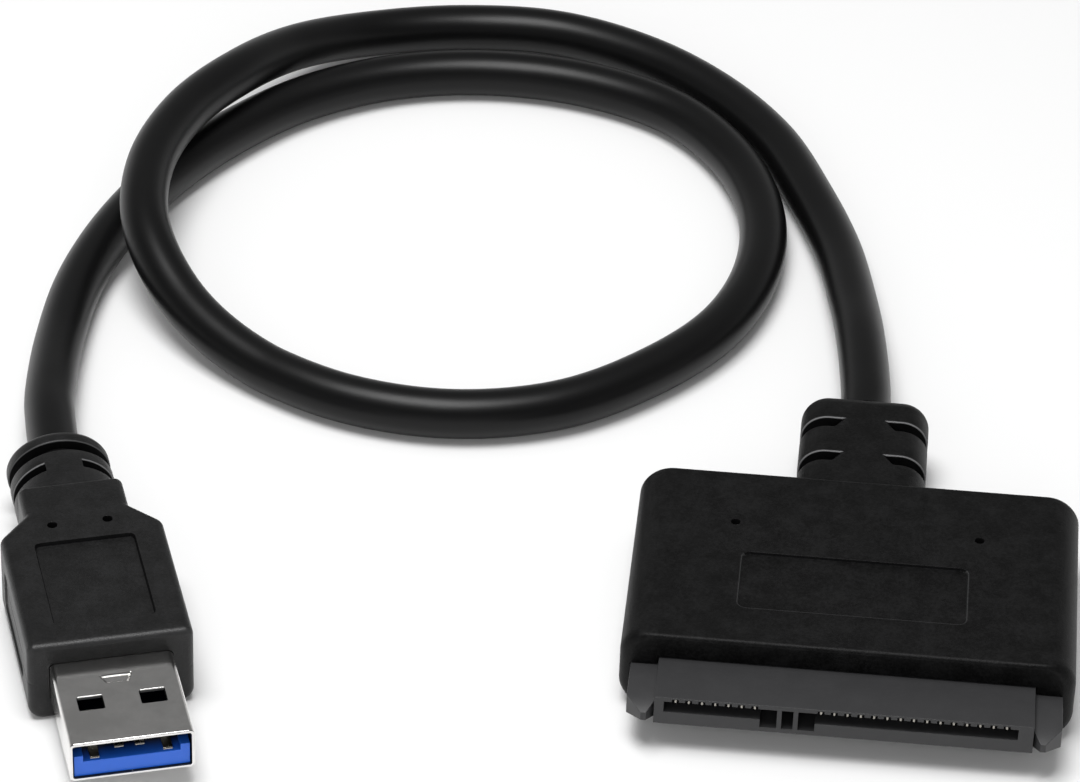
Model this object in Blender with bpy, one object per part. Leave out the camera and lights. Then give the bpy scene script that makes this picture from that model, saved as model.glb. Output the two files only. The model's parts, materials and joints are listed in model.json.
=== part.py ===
"""A USB to SATA adapter lead: a moulded drive connector, a free cord and a USB plug.

Lengths are in metres, +Z is up and the desk is z = 0. The drive connector faces
-Y, and the origin lies on the desk under the middle of its moulded end. The plug
is modelled in its own frame, nose at y = 0, and carried to its place by an empty.
"""

import math

import bmesh
import bpy
from mathutils import Vector

MM = 0.001

# Clearances between separate pieces
FIT_GAP = 0.2 * MM
SEAT_GAP = 0.15 * MM
CORD_GAP = 0.3 * MM
OVERLAP = 1.0 * MM
OVERRUN = 1.0 * MM

# Drive connector: a 22-way receptacle with two keyed slots
CONNECTOR_WIDTH = 36.4 * MM
CONNECTOR_HEIGHT = 3.2 * MM
CONNECTOR_LIFT = 0.2 * MM
CONNECTOR_REACH = 6.0 * MM
CONNECTOR_INSIDE = 3.0 * MM
CONNECTOR_EDGE = 0.12 * MM
SIGNAL_CONTACTS = 7
POWER_CONTACTS = 15
CONTACT_PITCH = 1.27 * MM
SEGMENT_PITCH = 6.35 * MM
CONTACT_ROW_SHIFT = -0.275 * MM
SLOT_HEIGHT = 1.25 * MM
SLOT_TOP_WALL = 0.5 * MM
SLOT_DEPTH = 5.5 * MM
SLOT_END_MARGIN = 1.1 * MM
KEY_MARGIN = 0.55 * MM
KEY_WIDTH = 1.6 * MM
KEY_DEPTH = 0.95 * MM
POCKET_WIDTH = 1.1 * MM
CHANNEL_RISE = 0.3 * MM

# Guide ears beside the connector, with pointed lead-ins
EAR_WIDTH = 2.7 * MM
EAR_HEIGHT = 2.2 * MM
EAR_DROP = 0.85 * MM
EAR_REACH = 0.7 * MM
EAR_TAPER = 1.8 * MM
EAR_TIP_WIDTH = 0.5 * MM
EAR_TIP_HEIGHT = 0.9 * MM
EAR_TIP_OUT = 0.7 * MM

# Moulded housing of the drive end
HOUSING_SIDE_MARGIN = 1.15 * MM
HOUSING_WIDTH = CONNECTOR_WIDTH + 2 * (EAR_WIDTH + HOUSING_SIDE_MARGIN)
HOUSING_DEPTH = 27.5 * MM
HOUSING_HEIGHT = 9.0 * MM
HOUSING_EDGE_RADIUS = 2.8 * MM
HOUSING_FRONT_CORNER = 1.3 * MM
HOUSING_REAR_CORNER = 1.8 * MM
HOUSING_FILLET = 0.4 * MM
HOUSING_WALL = 1.2 * MM
HOUSING_FRONT_WALL = 1.5 * MM

# Neck behind the housing, with side slots that let it bend
NECK_WIDTH = 13.1 * MM
NECK_HEIGHT = 8.0 * MM
NECK_LENGTH = 16.3 * MM
NECK_EDGE_RADIUS = 3.0 * MM
NECK_END_CORNER = 2.5 * MM
NECK_FILLET = 2.2 * MM
NECK_SLOT_WIDTH = 1.6 * MM
NECK_SLOT_FIRST = 5.2 * MM
NECK_SLOT_PITCH = 5.8 * MM
NECK_SLOT_COUNT = 2
NECK_BRIDGE = 4.2 * MM
NECK_CORE_WIDTH = 8.0 * MM

# Shallow sunk panel and the two mould-pin marks on the housing's top
PANEL_WIDTH = 22.3 * MM
PANEL_DEPTH = 8.9 * MM
PANEL_FROM_FRONT = 5.5 * MM
PANEL_CORNER = 0.9 * MM
PANEL_SINK = 0.25 * MM
PIN_MARK_DIAMETER = 0.9 * MM
PIN_MARK_SINK = 0.8 * MM
PIN_MARK_SPREAD = 24.2 * MM
PIN_MARK_FROM_FRONT = 19.1 * MM

# Spring contacts of the drive connector
CONTACT_WIDTH = 0.36 * MM
CONTACT_THICKNESS = 0.2 * MM
CONTACT_TIP_BACK = 0.9 * MM
CONTACT_BUMP_BACK = 1.7 * MM
CONTACT_LIFT_BACK = 4.6 * MM
CONTACT_TIP_DROP = 0.35 * MM
CONTACT_BUMP_DROP = 0.6 * MM
CONTACT_STEP = 0.8 * MM
CONTACT_TAIL = 1.6 * MM

# Circuit board and its parts
BOARD_SIDE_MARGIN = 0.6 * MM
BOARD_WIDTH = CONNECTOR_WIDTH - 2 * BOARD_SIDE_MARGIN
BOARD_DEPTH = 16.6 * MM
BOARD_THICKNESS = 1.0 * MM
BOARD_CORNER = 1.0 * MM
BOARD_BELOW_CONTACTS = 0.8 * MM
INNER_WALL = 0.7 * MM

# Six insulated wires, two of them screened pairs, from the board to the cord
WIRE_DIAMETER = 0.7 * MM
BUNDLE_RADIUS = 1.05 * MM
BUNDLE_BORE = 3.5 * MM
BOARD_PAD_PITCH = 1.5 * MM
BOARD_PAD_INSET = 2.0 * MM
WIRE_COLOURS = {
    "red": (0.55, 0.02, 0.02),
    "pair_1": (0.5, 0.5, 0.52),
    "white": (0.8, 0.8, 0.8),
    "green": (0.02, 0.3, 0.06),
    "pair_2": (0.5, 0.5, 0.52),
    "black": (0.02, 0.02, 0.02),
}
BUNDLE_ANGLES = (180, 120, 240, 300, 60, 0)

# Cord
CORD_DIAMETER = 5.2 * MM
CORD_CORE_WALL = 1.1 * MM
CORD_POINT_SPACING = 2.0 * CORD_DIAMETER

# Folded steel shell of the plug
SHELL_WIDTH = 12.0 * MM
SHELL_HEIGHT = 4.5 * MM
SHELL_LENGTH = 18.75 * MM
SHELL_EXPOSED = 12.3 * MM
SHELL_THICKNESS = 0.3 * MM
SHELL_CORNER = 0.55 * MM
SHELL_SEAM = 0.08 * MM
WINDOW_WIDTH = 2.5 * MM
WINDOW_LENGTH = 2.05 * MM
WINDOW_FROM_NOSE = 4.85 * MM
WINDOW_SPREAD = 6.0 * MM
DETENT_FROM_NOSE = 9.05 * MM
DETENT_LENGTH = 0.75 * MM
DETENT_FRONT_WIDTH = 2.0 * MM
DETENT_REAR_WIDTH = 3.0 * MM
DETENT_SINK = 0.14 * MM

# Plug: where it lies, and the moulded grip
PLUG_PLACE = (-66.6 * MM, -37.37 * MM)
PLUG_TURN = math.radians(18.4)
GRIP_SIDE_MARGIN = 2.1 * MM
GRIP_WIDTH = SHELL_WIDTH + 2 * GRIP_SIDE_MARGIN
GRIP_HEIGHT = 8.9 * MM
GRIP_STRAIGHT = 17.9 * MM
GRIP_CHAMFER = 3.2 * MM
GRIP_TOP_RADIUS = 0.9 * MM
GRIP_BOTTOM_RADIUS = 1.5 * MM
GRIP_FILLET = 0.7 * MM
GRIP_FRONT_WALL = 1.3 * MM
GRIP_WALL = 1.1 * MM
GRIP_CAVITY = 15.4 * MM
COLLAR_WIDTH = 10.5 * MM
COLLAR_LENGTH = 4.5 * MM
COLLAR_RADIUS = 0.9 * MM
GRIP_PANEL_WIDTH = 9.9 * MM
GRIP_PANEL_LENGTH = 13.1 * MM
GRIP_PANEL_FROM_FRONT = 3.1 * MM
GRIP_PANEL_CORNER = 0.6 * MM
GRIP_PANEL_SINK = 0.3 * MM
GRIP_MARK_SPREAD = 5.5 * MM
GRIP_MARK_FROM_FRONT = 18.9 * MM
GRIP_MARK_DIAMETER = 0.95 * MM
GRIP_MARK_SINK = 1.2 * MM
GRIP_PAD_LENGTH = 12.0 * MM
GRIP_PAD_HEIGHT = 4.6 * MM
GRIP_PAD_FROM_FRONT = 3.5 * MM
GRIP_PAD_CORNER = 1.2 * MM
GRIP_PAD_SINK = 0.2 * MM

# Ribbed strain relief behind the grip's collar
RELIEF_WIDTH = 10.5 * MM
RELIEF_HEIGHT = 8.6 * MM
RELIEF_LENGTH = 9.3 * MM
RELIEF_SLOT_FROM_COLLAR = 2.9 * MM
RELIEF_SLOT_WIDTH = 1.2 * MM
RELIEF_BRIDGE = 3.8 * MM
RELIEF_RIB = 1.6 * MM
RELIEF_GROOVE_WIDTH = 1.5 * MM
RELIEF_END_ROUND = 1.1 * MM
RELIEF_SIDES = 32

# Blue insulator with its tongue
TONGUE_HEIGHT = 2.2 * MM
TONGUE_SET_BACK = 0.3 * MM
TONGUE_RAIL = 1.0 * MM
TONGUE_RAIL_RISE = 0.25 * MM
TONGUE_LENGTH = 11.6 * MM
INSULATOR_LENGTH = 17.6 * MM

# Plug contacts: four flat blades and five raised springs
BLADE_PLACES = (-3.5 * MM, -1.0 * MM, 1.0 * MM, 3.5 * MM)
BLADE_WIDTH = 1.0 * MM
BLADE_THICKNESS = 0.2 * MM
BLADE_SET_BACK_OUTER = 1.0 * MM
BLADE_SET_BACK_INNER = 2.0 * MM
BLADE_DIVE = 7.4 * MM
BLADE_DEPTH = 0.85 * MM
SPRING_PITCH = 2.0 * MM
SPRING_COUNT = 5
SPRING_WIDTH = 0.6 * MM
SPRING_START = 8.7 * MM
SPRING_RISE = 0.45 * MM
SPRING_HEIGHT = 0.45 * MM
TAIL_END = 20.6 * MM

# Screening can behind the shell
CAN_HEIGHT = 4.6 * MM
CAN_WIDTH = 11.8 * MM
CAN_LENGTH = 8.4 * MM
CAN_THICKNESS = 0.25 * MM

# Centre line of the cord, from the neck to the plug, chosen by eye
CORD_ROUTE = (
    (-0.2, 31.0, 4.5),
    (-1.0, 39.5, 4.2),
    (-2.2, 48.0, 3.5),
    (-4.4, 59.0, 2.8),
    (-8.0, 69.6, 2.6),
    (-12.6, 79.9, 2.6),
    (-19.6, 88.8, 2.6),
    (-28.4, 95.5, 2.6),
    (-38.9, 99.3, 2.6),
    (-49.9, 98.8, 2.7),
    (-60.0, 94.7, 3.5),
    (-67.5, 87.1, 5.8),
    (-72.8, 77.6, 7.9),
    (-77.4, 67.6, 8.6),
    (-79.5, 56.5, 8.5),
    (-78.0, 45.5, 7.5),
    (-72.3, 36.5, 4.5),
    (-63.7, 29.5, 2.7),
    (-53.6, 24.7, 2.6),
    (-42.5, 23.6, 2.6),
    (-31.7, 26.7, 2.6),
    (-22.9, 33.7, 2.6),
    (-16.2, 42.7, 2.6),
    (-12.9, 53.4, 2.6),
    (-13.0, 64.7, 2.6),
    (-16.7, 75.3, 2.6),
    (-23.8, 83.9, 2.6),
    (-33.9, 88.6, 2.6),
    (-45.2, 89.7, 2.6),
    (-56.2, 87.3, 2.6),
    (-65.7, 81.5, 2.6),
    (-73.1, 73.2, 2.6),
    (-78.8, 63.6, 2.6),
    (-82.7, 53.2, 2.6),
    (-84.9, 42.1, 2.6),
    (-85.2, 31.0, 2.8),
    (-84.4, 20.5, 3.7),
    (-83.3, 14.5, 4.2),
)

# Places worked out from the sizes above
DRIVE_LENGTH = EAR_REACH + CONNECTOR_REACH + HOUSING_DEPTH + NECK_LENGTH
FACE_Y = EAR_REACH - DRIVE_LENGTH / 2
HOUSING_FRONT = FACE_Y + CONNECTOR_REACH
HOUSING_REAR = HOUSING_FRONT + HOUSING_DEPTH
NECK_END = HOUSING_REAR + NECK_LENGTH
DRIVE_Z = HOUSING_HEIGHT / 2
CONNECTOR_Z = DRIVE_Z + CONNECTOR_LIFT
CONNECTOR_TOP = CONNECTOR_Z + CONNECTOR_HEIGHT / 2
CONNECTOR_REAR = HOUSING_FRONT + CONNECTOR_INSIDE
SLOT_TOP = CONNECTOR_TOP - SLOT_TOP_WALL
SLOT_BOTTOM = SLOT_TOP - SLOT_HEIGHT
CHANNEL_TOP = SLOT_TOP + CHANNEL_RISE
CHANNEL_WIDTH = CONTACT_WIDTH + 2 * SEAT_GAP
CONTACT_Z = CHANNEL_TOP - SEAT_GAP - CONTACT_THICKNESS / 2
BOARD_TOP = CONTACT_Z - BOARD_BELOW_CONTACTS
BOARD_BOTTOM = BOARD_TOP - BOARD_THICKNESS
BOARD_FRONT = CONNECTOR_REAR + FIT_GAP
BOARD_REAR = BOARD_FRONT + BOARD_DEPTH
CORE_RADIUS = CORD_DIAMETER / 2 + CORD_CORE_WALL
PLUG_Z = GRIP_HEIGHT / 2
GRIP_CAVITY_FRONT = SHELL_EXPOSED + GRIP_FRONT_WALL
COLLAR_FRONT = SHELL_EXPOSED + GRIP_STRAIGHT + GRIP_CHAMFER
COLLAR_REAR = COLLAR_FRONT + COLLAR_LENGTH
RELIEF_END = COLLAR_REAR + RELIEF_LENGTH
SHELL_FLOOR = PLUG_Z - SHELL_HEIGHT / 2 + SHELL_THICKNESS
TONGUE_TOP = SHELL_FLOOR + TONGUE_HEIGHT
BLADE_Z = TONGUE_TOP
BLADE_TAIL_Z = BLADE_Z - BLADE_DEPTH
SPRING_Z = TONGUE_TOP + SPRING_HEIGHT


def material(name, colour, roughness, metallic=0.0):
    """A Principled material with one colour and finish."""
    made = bpy.data.materials.new(name)
    made.use_nodes = True
    shader = made.node_tree.nodes["Principled BSDF"]
    shader.inputs["Base Color"].default_value = (*colour, 1.0)
    shader.inputs["Roughness"].default_value = roughness
    shader.inputs["Metallic"].default_value = metallic
    made.diffuse_color = (*colour, 1.0)
    return made


def rounded_rectangle(width, height, top_radius, bottom_radius=None, steps=5):
    """Counter-clockwise outline round (0, 0), with an arc at each corner."""
    if bottom_radius is None:
        bottom_radius = top_radius
    points = []
    corners = (
        (1, -1, bottom_radius, -90),
        (1, 1, top_radius, 0),
        (-1, 1, top_radius, 90),
        (-1, -1, bottom_radius, 180),
    )
    for side, rise, radius, start in corners:
        for step in range(steps + 1):
            angle = math.radians(start + 90 * step / steps)
            across = side * (width / 2 - radius) + radius * math.cos(angle)
            up = rise * (height / 2 - radius) + radius * math.sin(angle)
            points.append((across, up))
    return points


def ellipse(width, height, sides):
    """Outline of an ellipse round (0, 0)."""
    angles = [math.tau * (i + 0.5) / sides for i in range(sides)]
    return [(width / 2 * math.cos(a), height / 2 * math.sin(a)) for a in angles]


def corner_inset(distance, radius):
    """How far a rounded corner stands in from its side, this far from the end."""
    if distance >= radius:
        return 0.0
    return radius - math.sqrt(radius**2 - (radius - distance) ** 2)


def arc_stations(radius, steps):
    """Distances from the end at which a quarter-round corner is sampled."""
    return [radius * (1 - math.cos(math.pi / 2 * i / steps)) for i in range(steps + 1)]


def finish_mesh(name, bm, look, parent=None):
    """Turns a bmesh into an object with outward faces and smooth round sides."""
    bmesh.ops.recalc_face_normals(bm, faces=bm.faces)
    mesh = bpy.data.meshes.new(name)
    bm.to_mesh(mesh)
    bm.free()
    mesh.shade_smooth()
    mesh.set_sharp_from_angle(angle=math.radians(30))
    made = bpy.data.objects.new(name, mesh)
    bpy.context.scene.collection.objects.link(made)
    made.parent = parent
    if look is not None:
        mesh.materials.append(look)
    return made


def add_loft(bm, rings):
    """Skins a row of rings with the same number of points, and closes both ends."""
    rows = [[bm.verts.new(point) for point in ring] for ring in rings]
    count = len(rows[0])
    for near, far in zip(rows, rows[1:]):
        for i in range(count):
            after = (i + 1) % count
            bm.faces.new((near[i], near[after], far[after], far[i]))
    bm.faces.new(rows[0])
    bm.faces.new(reversed(rows[-1]))


def ring_at(outline, y, centre_z):
    """An outline across the Y axis, at y, round the height centre_z."""
    return [Vector((across, y, centre_z + up)) for across, up in outline]


def loft(name, rings, look, parent=None):
    bm = bmesh.new()
    add_loft(bm, rings)
    return finish_mesh(name, bm, look, parent)


def prism(name, outlines, axis, start, end, look, parent=None):
    """Extrudes each outline from start to end along an axis, as one object."""
    place = {
        "X": lambda u, v, along: Vector((along, u, v)),
        "Y": lambda u, v, along: Vector((u, along, v)),
        "Z": lambda u, v, along: Vector((u, v, along)),
    }[axis]
    bm = bmesh.new()
    for outline in outlines:
        add_loft(bm, [[place(u, v, along) for u, v in outline] for along in (start, end)])
    return finish_mesh(name, bm, look, parent)


def rectangle(left, right, low, high):
    return [(left, low), (right, low), (right, high), (left, high)]


def moved(outline, across, up):
    return [(u + across, v + up) for u, v in outline]


def boolean(target, tool, operation):
    """Cuts the tool from the target, or joins it, and hides the tool."""
    change = target.modifiers.new(f"{operation.lower()}_{tool.name}", "BOOLEAN")
    change.operation = operation
    change.object = tool
    change.solver = "EXACT"
    tool.hide_render = True
    tool.display_type = "WIRE"


def cut(target, tool):
    boolean(target, tool, "DIFFERENCE")


def join(target, tool):
    boolean(target, tool, "UNION")


def rounded_block_rings(size, front, centre_z, corners, edge_radius, fillet):
    """Rings of a block whose plan has round corners and whose ends have a fillet."""
    width, depth, height = size
    front_corner, rear_corner = corners
    front_stations = arc_stations(front_corner, 5) + arc_stations(fillet, 3)
    rear_stations = arc_stations(rear_corner, 7) + arc_stations(fillet, 3)
    stations = front_stations + [depth - s for s in rear_stations]
    rings = []
    for station in sorted({round(s, 8) for s in stations}):
        rear = max(depth - station, 0.0)
        side = corner_inset(station, front_corner) + corner_inset(rear, rear_corner)
        rise = corner_inset(station, fillet) + corner_inset(rear, fillet)
        outline = rounded_rectangle(width - 2 * side, height - 2 * rise, edge_radius - rise)
        rings.append(ring_at(outline, front + station, centre_z))
    return rings


def side_slot(side, bridge, core, reach):
    """Outline of a slot that runs in from one side to the oval core of a neck."""
    half = bridge / 2
    core_across, core_up = core
    open_angle = math.acos(half / core_across)
    outline = [(side * half, reach), (side * reach, reach), (side * reach, -reach)]
    outline.append((side * half, -reach))
    steps = 8
    for step in range(steps + 1):
        angle = open_angle * (2 * step / steps - 1)
        outline.append((side * core_across * math.cos(angle), core_up * math.sin(angle)))
    return outline


def neck_core():
    """Half width and half height of the oval that the neck's slots stop at."""
    across = NECK_CORE_WIDTH / 2
    up = NECK_HEIGHT / 2 / math.sin(math.acos(NECK_BRIDGE / NECK_CORE_WIDTH))
    return across, up


def smooth_points(route, spacing):
    """Points at even spacing on a Catmull-Rom curve through the route's points."""
    ends = [2 * route[0] - route[1], *route, 2 * route[-1] - route[-2]]
    fine = []
    pieces = 12
    for before, start, end, after in zip(ends, ends[1:], ends[2:], ends[3:]):
        for piece in range(pieces):
            t = piece / pieces
            slope_in = (end - before) / 2
            slope_out = (after - start) / 2
            fine.append(
                (2 * t**3 - 3 * t**2 + 1) * start
                + (t**3 - 2 * t**2 + t) * slope_in
                + (3 * t**2 - 2 * t**3) * end
                + (t**3 - t**2) * slope_out
            )
    fine.append(route[-1])
    travelled = [0.0]
    for near, far in zip(fine, fine[1:]):
        travelled.append(travelled[-1] + (far - near).length)
    count = max(2, round(travelled[-1] / spacing))
    points = []
    at = 0
    for i in range(count + 1):
        wanted = travelled[-1] * i / count
        while at < len(fine) - 2 and travelled[at + 1] < wanted:
            at += 1
        share = (wanted - travelled[at]) / (travelled[at + 1] - travelled[at])
        points.append(fine[at].lerp(fine[at + 1], min(share, 1.0)))
    return points


def tube(name, points, diameter, roundness, look, parent=None):
    """A round tube with filled ends along the points."""
    curve = bpy.data.curves.new(name, "CURVE")
    curve.dimensions = "3D"
    spline = curve.splines.new("POLY")
    spline.points.add(len(points) - 1)
    for control, point in zip(spline.points, points):
        control.co = (*point, 1.0)
    curve.bevel_depth = diameter / 2
    curve.bevel_resolution = roundness
    curve.use_fill_caps = True
    curve.materials.append(look)
    made = bpy.data.objects.new(name, curve)
    bpy.context.scene.collection.objects.link(made)
    made.parent = parent
    return made


def contact_places():
    """Centres of the signal contacts and of the power contacts, along X."""
    row = (SIGNAL_CONTACTS + POWER_CONTACTS - 2) * CONTACT_PITCH + SEGMENT_PITCH
    first = CONTACT_ROW_SHIFT - row / 2
    signal = [first + i * CONTACT_PITCH for i in range(SIGNAL_CONTACTS)]
    power = [signal[-1] + SEGMENT_PITCH + i * CONTACT_PITCH for i in range(POWER_CONTACTS)]
    return signal, power


def keyed_slot(places, key_side):
    """Front outline of one slot: the key at one end and a comb of channels on top."""
    ordered = sorted(places, key=lambda x: key_side * x)
    open_end = ordered[0] - key_side * SLOT_END_MARGIN
    key_near = ordered[-1] + key_side * KEY_MARGIN
    key_far = key_near + key_side * KEY_WIDTH
    outline = [(open_end, SLOT_BOTTOM), (key_near, SLOT_BOTTOM)]
    outline += [(key_near, SLOT_BOTTOM - KEY_DEPTH), (key_far, SLOT_BOTTOM - KEY_DEPTH)]
    outline.append((key_far, SLOT_TOP))
    for place in reversed(ordered):
        near = place + key_side * CHANNEL_WIDTH / 2
        far = place - key_side * CHANNEL_WIDTH / 2
        outline += [(near, SLOT_TOP), (near, CHANNEL_TOP), (far, CHANNEL_TOP), (far, SLOT_TOP)]
    outline.append((open_end, SLOT_TOP))
    return outline


def ear_rings(side, rear):
    """Rings of one guide ear, from its pointed tip to the given rear end."""
    top = CONNECTOR_TOP - EAR_DROP
    bottom = top - EAR_HEIGHT
    inner = CONNECTOR_WIDTH / 2
    outer = inner + EAR_WIDTH
    tip_in = inner + EAR_TIP_OUT
    tip_low = (top + bottom - EAR_TIP_HEIGHT) / 2
    tip = rectangle(side * tip_in, side * (tip_in + EAR_TIP_WIDTH), tip_low, tip_low + EAR_TIP_HEIGHT)
    full = rectangle(side * (inner - FIT_GAP), side * outer, bottom, top)
    shoulder = FACE_Y - EAR_REACH + EAR_TAPER
    return [
        ring_at(tip, FACE_Y - EAR_REACH, 0),
        ring_at(full, shoulder, 0),
        ring_at(full, rear, 0),
    ]


def connector_opening():
    """Outlines that, cut one after the other, let the connector and ears through."""
    half = CONNECTOR_WIDTH / 2 + SEAT_GAP
    ear_half = CONNECTOR_WIDTH / 2 + EAR_WIDTH + SEAT_GAP
    low = CONNECTOR_TOP - CONNECTOR_HEIGHT - SEAT_GAP
    top = CONNECTOR_TOP + SEAT_GAP
    ear_top = CONNECTOR_TOP - EAR_DROP + SEAT_GAP
    ear_low = ear_top - EAR_HEIGHT - 2 * SEAT_GAP
    return [
        (-half, low), (half, low), (half, ear_low), (ear_half, ear_low),
        (ear_half, ear_top), (half, ear_top), (half, top), (-half, top),
        (-half, ear_top), (-ear_half, ear_top), (-ear_half, ear_low), (-half, ear_low),
    ]


def build_housing(look):
    """The outer moulding: rounded block, slotted neck, cavity, panel and pin marks."""
    size = (HOUSING_WIDTH, HOUSING_DEPTH, HOUSING_HEIGHT)
    corners = (HOUSING_FRONT_CORNER, HOUSING_REAR_CORNER)
    rings = rounded_block_rings(size, HOUSING_FRONT, DRIVE_Z, corners, HOUSING_EDGE_RADIUS, HOUSING_FILLET)
    housing = loft("sata_housing", rings, look)

    neck_size = (NECK_WIDTH, NECK_LENGTH + OVERLAP, NECK_HEIGHT)
    neck_front = HOUSING_REAR - OVERLAP
    rings = rounded_block_rings(neck_size, neck_front, DRIVE_Z, (0.0, NECK_END_CORNER), NECK_EDGE_RADIUS, NECK_FILLET)
    join(housing, loft("neck_form", rings, None))

    cavity_front = HOUSING_FRONT + HOUSING_FRONT_WALL
    cavity_rear = HOUSING_REAR - HOUSING_WALL
    cut(housing, loft("housing_cavity", inside_rings(0.0), None))
    mouth_start = HOUSING_FRONT - OVERRUN
    cut(housing, prism("housing_mouth", [connector_opening()], "Y", mouth_start, cavity_front + OVERLAP, None))
    bore = moved(ellipse(BUNDLE_BORE, BUNDLE_BORE, 16), 0, DRIVE_Z)
    cut(housing, prism("neck_bore", [bore], "Y", cavity_rear - OVERLAP, NECK_END + OVERRUN, None))

    for number in range(NECK_SLOT_COUNT):
        centre = HOUSING_REAR + NECK_SLOT_FIRST + number * NECK_SLOT_PITCH
        outlines = [moved(side_slot(side, NECK_BRIDGE, neck_core(), NECK_WIDTH), 0, DRIVE_Z) for side in (-1, 1)]
        start = centre - NECK_SLOT_WIDTH / 2
        cut(housing, prism(f"neck_slot_{number + 1}", outlines, "Y", start, start + NECK_SLOT_WIDTH, None))

    panel = rounded_rectangle(PANEL_WIDTH, PANEL_DEPTH, PANEL_CORNER, steps=3)
    panel = moved(panel, 0, HOUSING_FRONT + PANEL_FROM_FRONT + PANEL_DEPTH / 2)
    floor = HOUSING_HEIGHT - PANEL_SINK
    cut(housing, prism("housing_panel", [panel], "Z", floor, HOUSING_HEIGHT + OVERRUN, None))
    mark = ellipse(PIN_MARK_DIAMETER, PIN_MARK_DIAMETER, 12)
    mark_y = HOUSING_FRONT + PIN_MARK_FROM_FRONT
    marks = [moved(mark, side * PIN_MARK_SPREAD / 2, mark_y) for side in (-1, 1)]
    floor = HOUSING_HEIGHT - PIN_MARK_SINK
    cut(housing, prism("housing_pin_marks", marks, "Z", floor, HOUSING_HEIGHT + OVERRUN, None))


def inside_rings(gap):
    """Rings of the space inside the housing's walls, or of what fills it with a gap."""
    width = HOUSING_WIDTH - 2 * (HOUSING_WALL + gap)
    depth = HOUSING_DEPTH - HOUSING_FRONT_WALL - HOUSING_WALL - 2 * gap
    height = HOUSING_HEIGHT - 2 * (HOUSING_WALL + gap)
    front = HOUSING_FRONT + HOUSING_FRONT_WALL + gap
    corners = (0.0, HOUSING_REAR_CORNER - HOUSING_WALL - gap)
    edge_radius = HOUSING_EDGE_RADIUS - HOUSING_WALL - gap
    return rounded_block_rings((width, depth, height), front, DRIVE_Z, corners, edge_radius, 0.0)


def build_inner_moulding(look):
    """The first-shot moulding round the board, open towards the connector."""
    moulding = loft("sata_inner_moulding", inside_rings(FIT_GAP), look)
    front = HOUSING_FRONT + HOUSING_FRONT_WALL + FIT_GAP
    rear = HOUSING_REAR - HOUSING_WALL - FIT_GAP

    roof = HOUSING_HEIGHT - HOUSING_WALL - FIT_GAP - INNER_WALL
    half = max(CONNECTOR_WIDTH, BOARD_WIDTH) / 2 + FIT_GAP
    low = min(BOARD_BOTTOM, CONNECTOR_TOP - CONNECTOR_HEIGHT) - FIT_GAP
    mouth = rectangle(-half, half, low, roof)
    cut(moulding, prism("moulding_mouth", [mouth], "Y", front - OVERRUN, BOARD_FRONT + OVERLAP, None))
    board_half = BOARD_WIDTH / 2 + FIT_GAP
    space = rectangle(-board_half, board_half, BOARD_BOTTOM - FIT_GAP, roof)
    cut(moulding, prism("board_space", [space], "Y", BOARD_FRONT, rear - INNER_WALL, None))
    wires_half = BOARD_PAD_PITCH * len(WIRE_COLOURS) / 2
    room = rectangle(-wires_half, wires_half, DRIVE_Z - BUNDLE_BORE / 2, roof)
    cut(moulding, prism("wire_room", [room], "Y", BOARD_REAR, rear - INNER_WALL, None))
    bore = moved(ellipse(BUNDLE_BORE, BUNDLE_BORE, 16), 0, DRIVE_Z)
    cut(moulding, prism("moulding_bore", [bore], "Y", rear - INNER_WALL - OVERLAP, rear + OVERRUN, None))


def build_connector(look):
    """The 22-way receptacle: keyed slots, centre pocket, contact holes and ears."""
    body = rounded_rectangle(CONNECTOR_WIDTH, CONNECTOR_HEIGHT, CONNECTOR_EDGE, steps=1)
    connector = prism("sata_connector", [moved(body, 0, CONNECTOR_Z)], "Y", FACE_Y, CONNECTOR_REAR, look)
    for side, name in ((-1, "left_ear"), (1, "right_ear")):
        rings = ear_rings(side, HOUSING_FRONT + HOUSING_FRONT_WALL - FIT_GAP)
        join(connector, loft(name, rings, None))

    signal, power = contact_places()
    slots = [keyed_slot(signal, 1), keyed_slot(power, -1)]
    slot_rear = FACE_Y + SLOT_DEPTH
    cut(connector, prism("keyed_slots", slots, "Y", FACE_Y - OVERRUN, slot_rear, None))
    middle = (signal[-1] + power[0]) / 2
    pocket = rectangle(middle - POCKET_WIDTH / 2, middle + POCKET_WIDTH / 2, SLOT_BOTTOM - KEY_DEPTH, SLOT_TOP)
    cut(connector, prism("centre_pocket", [pocket], "Y", FACE_Y - OVERRUN, slot_rear, None))
    low = CONTACT_Z - CONTACT_THICKNESS / 2 - SEAT_GAP
    holes = [rectangle(x - CHANNEL_WIDTH / 2, x + CHANNEL_WIDTH / 2, low, CHANNEL_TOP) for x in signal + power]
    cut(connector, prism("contact_holes", holes, "Y", slot_rear - OVERLAP, CONNECTOR_REAR + OVERRUN, None))


def strip(name, path, x, width, thickness, look, parent=None):
    """A bent strip of sheet: the path is its mid line in the YZ plane."""
    path = [Vector(point) for point in path]
    upper = []
    lower = []
    for i, point in enumerate(path):
        before = (point - path[i - 1]).normalized() if i else None
        after = (path[i + 1] - point).normalized() if i + 1 < len(path) else None
        if before is None:
            along = after
        elif after is None:
            along = before
        else:
            along = (before + after).normalized()
        normal = Vector((-along.y, along.x))
        reach = thickness / 2
        if before is not None:
            reach /= max(0.5, along.dot(before))
        upper.append(tuple(point + normal * reach))
        lower.append(tuple(point - normal * reach))
    outline = upper + lower[::-1]
    return prism(name, [outline], "X", x - width / 2, x + width / 2, look, parent)


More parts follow.
